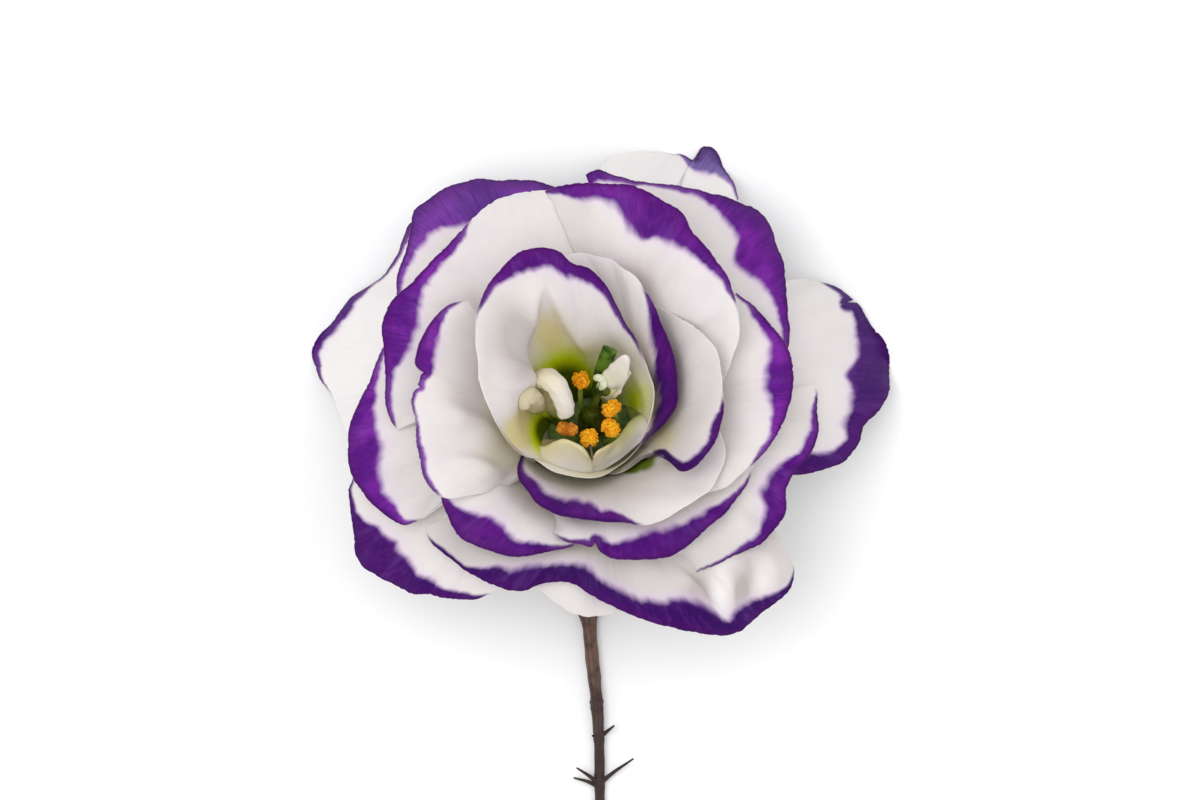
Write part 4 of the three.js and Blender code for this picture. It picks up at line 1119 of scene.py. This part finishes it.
calyx = Body()
add_receptacle(calyx)
for order in range(SEPALS):
    add_sepal(calyx, order)
make_piece("calyx", calyx, [SEPAL])


# Stem. Its tones hold darkness and rust, and its rings hold the place along it, the reach and the height.

STEM_PATH = [
    (0, -1.78, 7.1), (0, -2.2, 5.4), (0, -3.4, 3.5), (-0.1, -5.8, 2), (-0.3, -9.5, 1.4), (-0.5, -15, 1.3),
    (-0.6, -22, 1.3), (-0.1, -29.4, 1), (0.6, -36, 1), (0.95, -42.4, 0.8), (1, -48.5, 0.7), (1.6, -57, 0.7),
    (1.9, -66, 0.7), (1.2, -75, 0.7),
]
STEM_RADII = (1.6, 1.5, 1.4, 1.3, 1.25, 1, 0.92, 0.86, 0.82, 0.7, 0.67, 0.68, 0.72, 0.68, 0.76, 0.68, 0.7)
STEM_TONES = (
    (0, 0, 0), (0, 0, 0), (0, 0, 0), (0.3, 0.9, 0), (0.35, 1, 0), (0.4, 0.3, 0), (0.9, 0, 0),
    (1, 0, 0), (1, 0, 0), (1, 0, 0), (0.9, 0, 0), (0.9, 0, 0), (0.9, 0, 0),
)
RINGS = [
    (25, 1.4, 0.7), (34.2, 0.5, 0.05), (37.4, 0.3, 0.14), (38.2, 0.25, 0.08), (42.3, 0.4, 0.1),
    (48.3, 0.7, 0.1),
]
BARK_RIDGES = 7
TWIG_RADII = (0.36, 0.27, 0.2, 0.12)
TWIG_TONES = ((1, 0, 0),)
TWIGS = [
    [(0.9, -40.9, 0.8), (1.9, -40.1, 1), (2.9, -39.3, 1.5)],
    [(0.9, -40.9, 0.9), (0, -40.6, 1.2)],
    [(1, -46.9, 0.8), (2.4, -45.7, 0.9), (5.4, -43.6, 1.6)],
    [(1, -47, 0.8), (-0.6, -45.7, 1.1), (-2, -44.8, 1.7)],
    [(1, -47.3, 0.7), (-0.6, -46.6, 0.8), (-2.4, -46.1, 1)],
]
PHASES = np.random.default_rng(400).uniform(0, tau, 4)


def rough(place, angle):
    ridges = 0.035 * np.sin(BARK_RIDGES * angle + PHASES[0] + 0.25 * place)
    lumps = 0.03 * np.sin(2 * angle + PHASES[1] + 0.9 * place)
    bends = 0.025 * np.sin(3 * angle + 2.1 * place + PHASES[2])
    grain = 0.02 * np.sin(13 * angle + PHASES[3] + 0.7 * np.sin(1.7 * place))
    rings = sum(height * bell(place - centre, reach) for centre, reach, height in RINGS)
    return 0.95 + ridges + lumps + bends + grain + rings


stem = Body()
add_tube(stem, STEM_PATH, STEM_RADII, X_AXIS, 900, 56, tones=STEM_TONES, swell=rough, lies=True)
for order, path in enumerate(TWIGS):
    add_tube(stem, path, TWIG_RADII, Z_AXIS, 40, 18, seed=order, tones=TWIG_TONES, swell=rough)
make_piece("stem", stem, [BARK])


# Floor and light

FLOOR_HALF = 3
LIGHT_TARGET = (0, 0.02, 0.02)
LIGHTS = [("key", (-0.24, 0.03, 0.85), 0.7, 3.7), ("fill", (0.45, 0.25, 0.9), 0.9, 2)]
WORLD_STRENGTH = 0.72

floor_mesh = bpy.data.meshes.new("floor")
floor_corners = [(x * FLOOR_HALF, y * FLOOR_HALF, 0) for x, y in ((-1, -1), (1, -1), (1, 1), (-1, 1))]
floor_mesh.from_pydata(floor_corners, [], [(0, 1, 2, 3)])
paper = Shader("floor", specular_ior_level=0.1, roughness=0.9)
paper.colour(paper.mix(paper.noise(paper.here(), 0.02), (250, 250, 251), (246, 246, 248)))
floor_mesh.materials.append(paper.material)
floor = add_object("floor", floor_mesh)

for name, place, size, power in LIGHTS:
    data = bpy.data.lights.new(name, "AREA")
    data.shape = "DISK"
    data.size = size
    data.energy = power
    light = add_object(name, data)
    light.location = place
    light.rotation_mode = "QUATERNION"
    light.rotation_quaternion = (Vector(LIGHT_TARGET) - Vector(place)).to_track_quat("-Z", "Y")

world = bpy.data.worlds.new("studio")
world.use_nodes = True
background = world.node_tree.nodes["Background"]
background.inputs["Color"].default_value = (1, 1, 1, 1)
background.inputs["Strength"].default_value = WORLD_STRENGTH
bpy.context.scene.world = world
bpy.context.scene.view_settings.view_transform = "Standard"
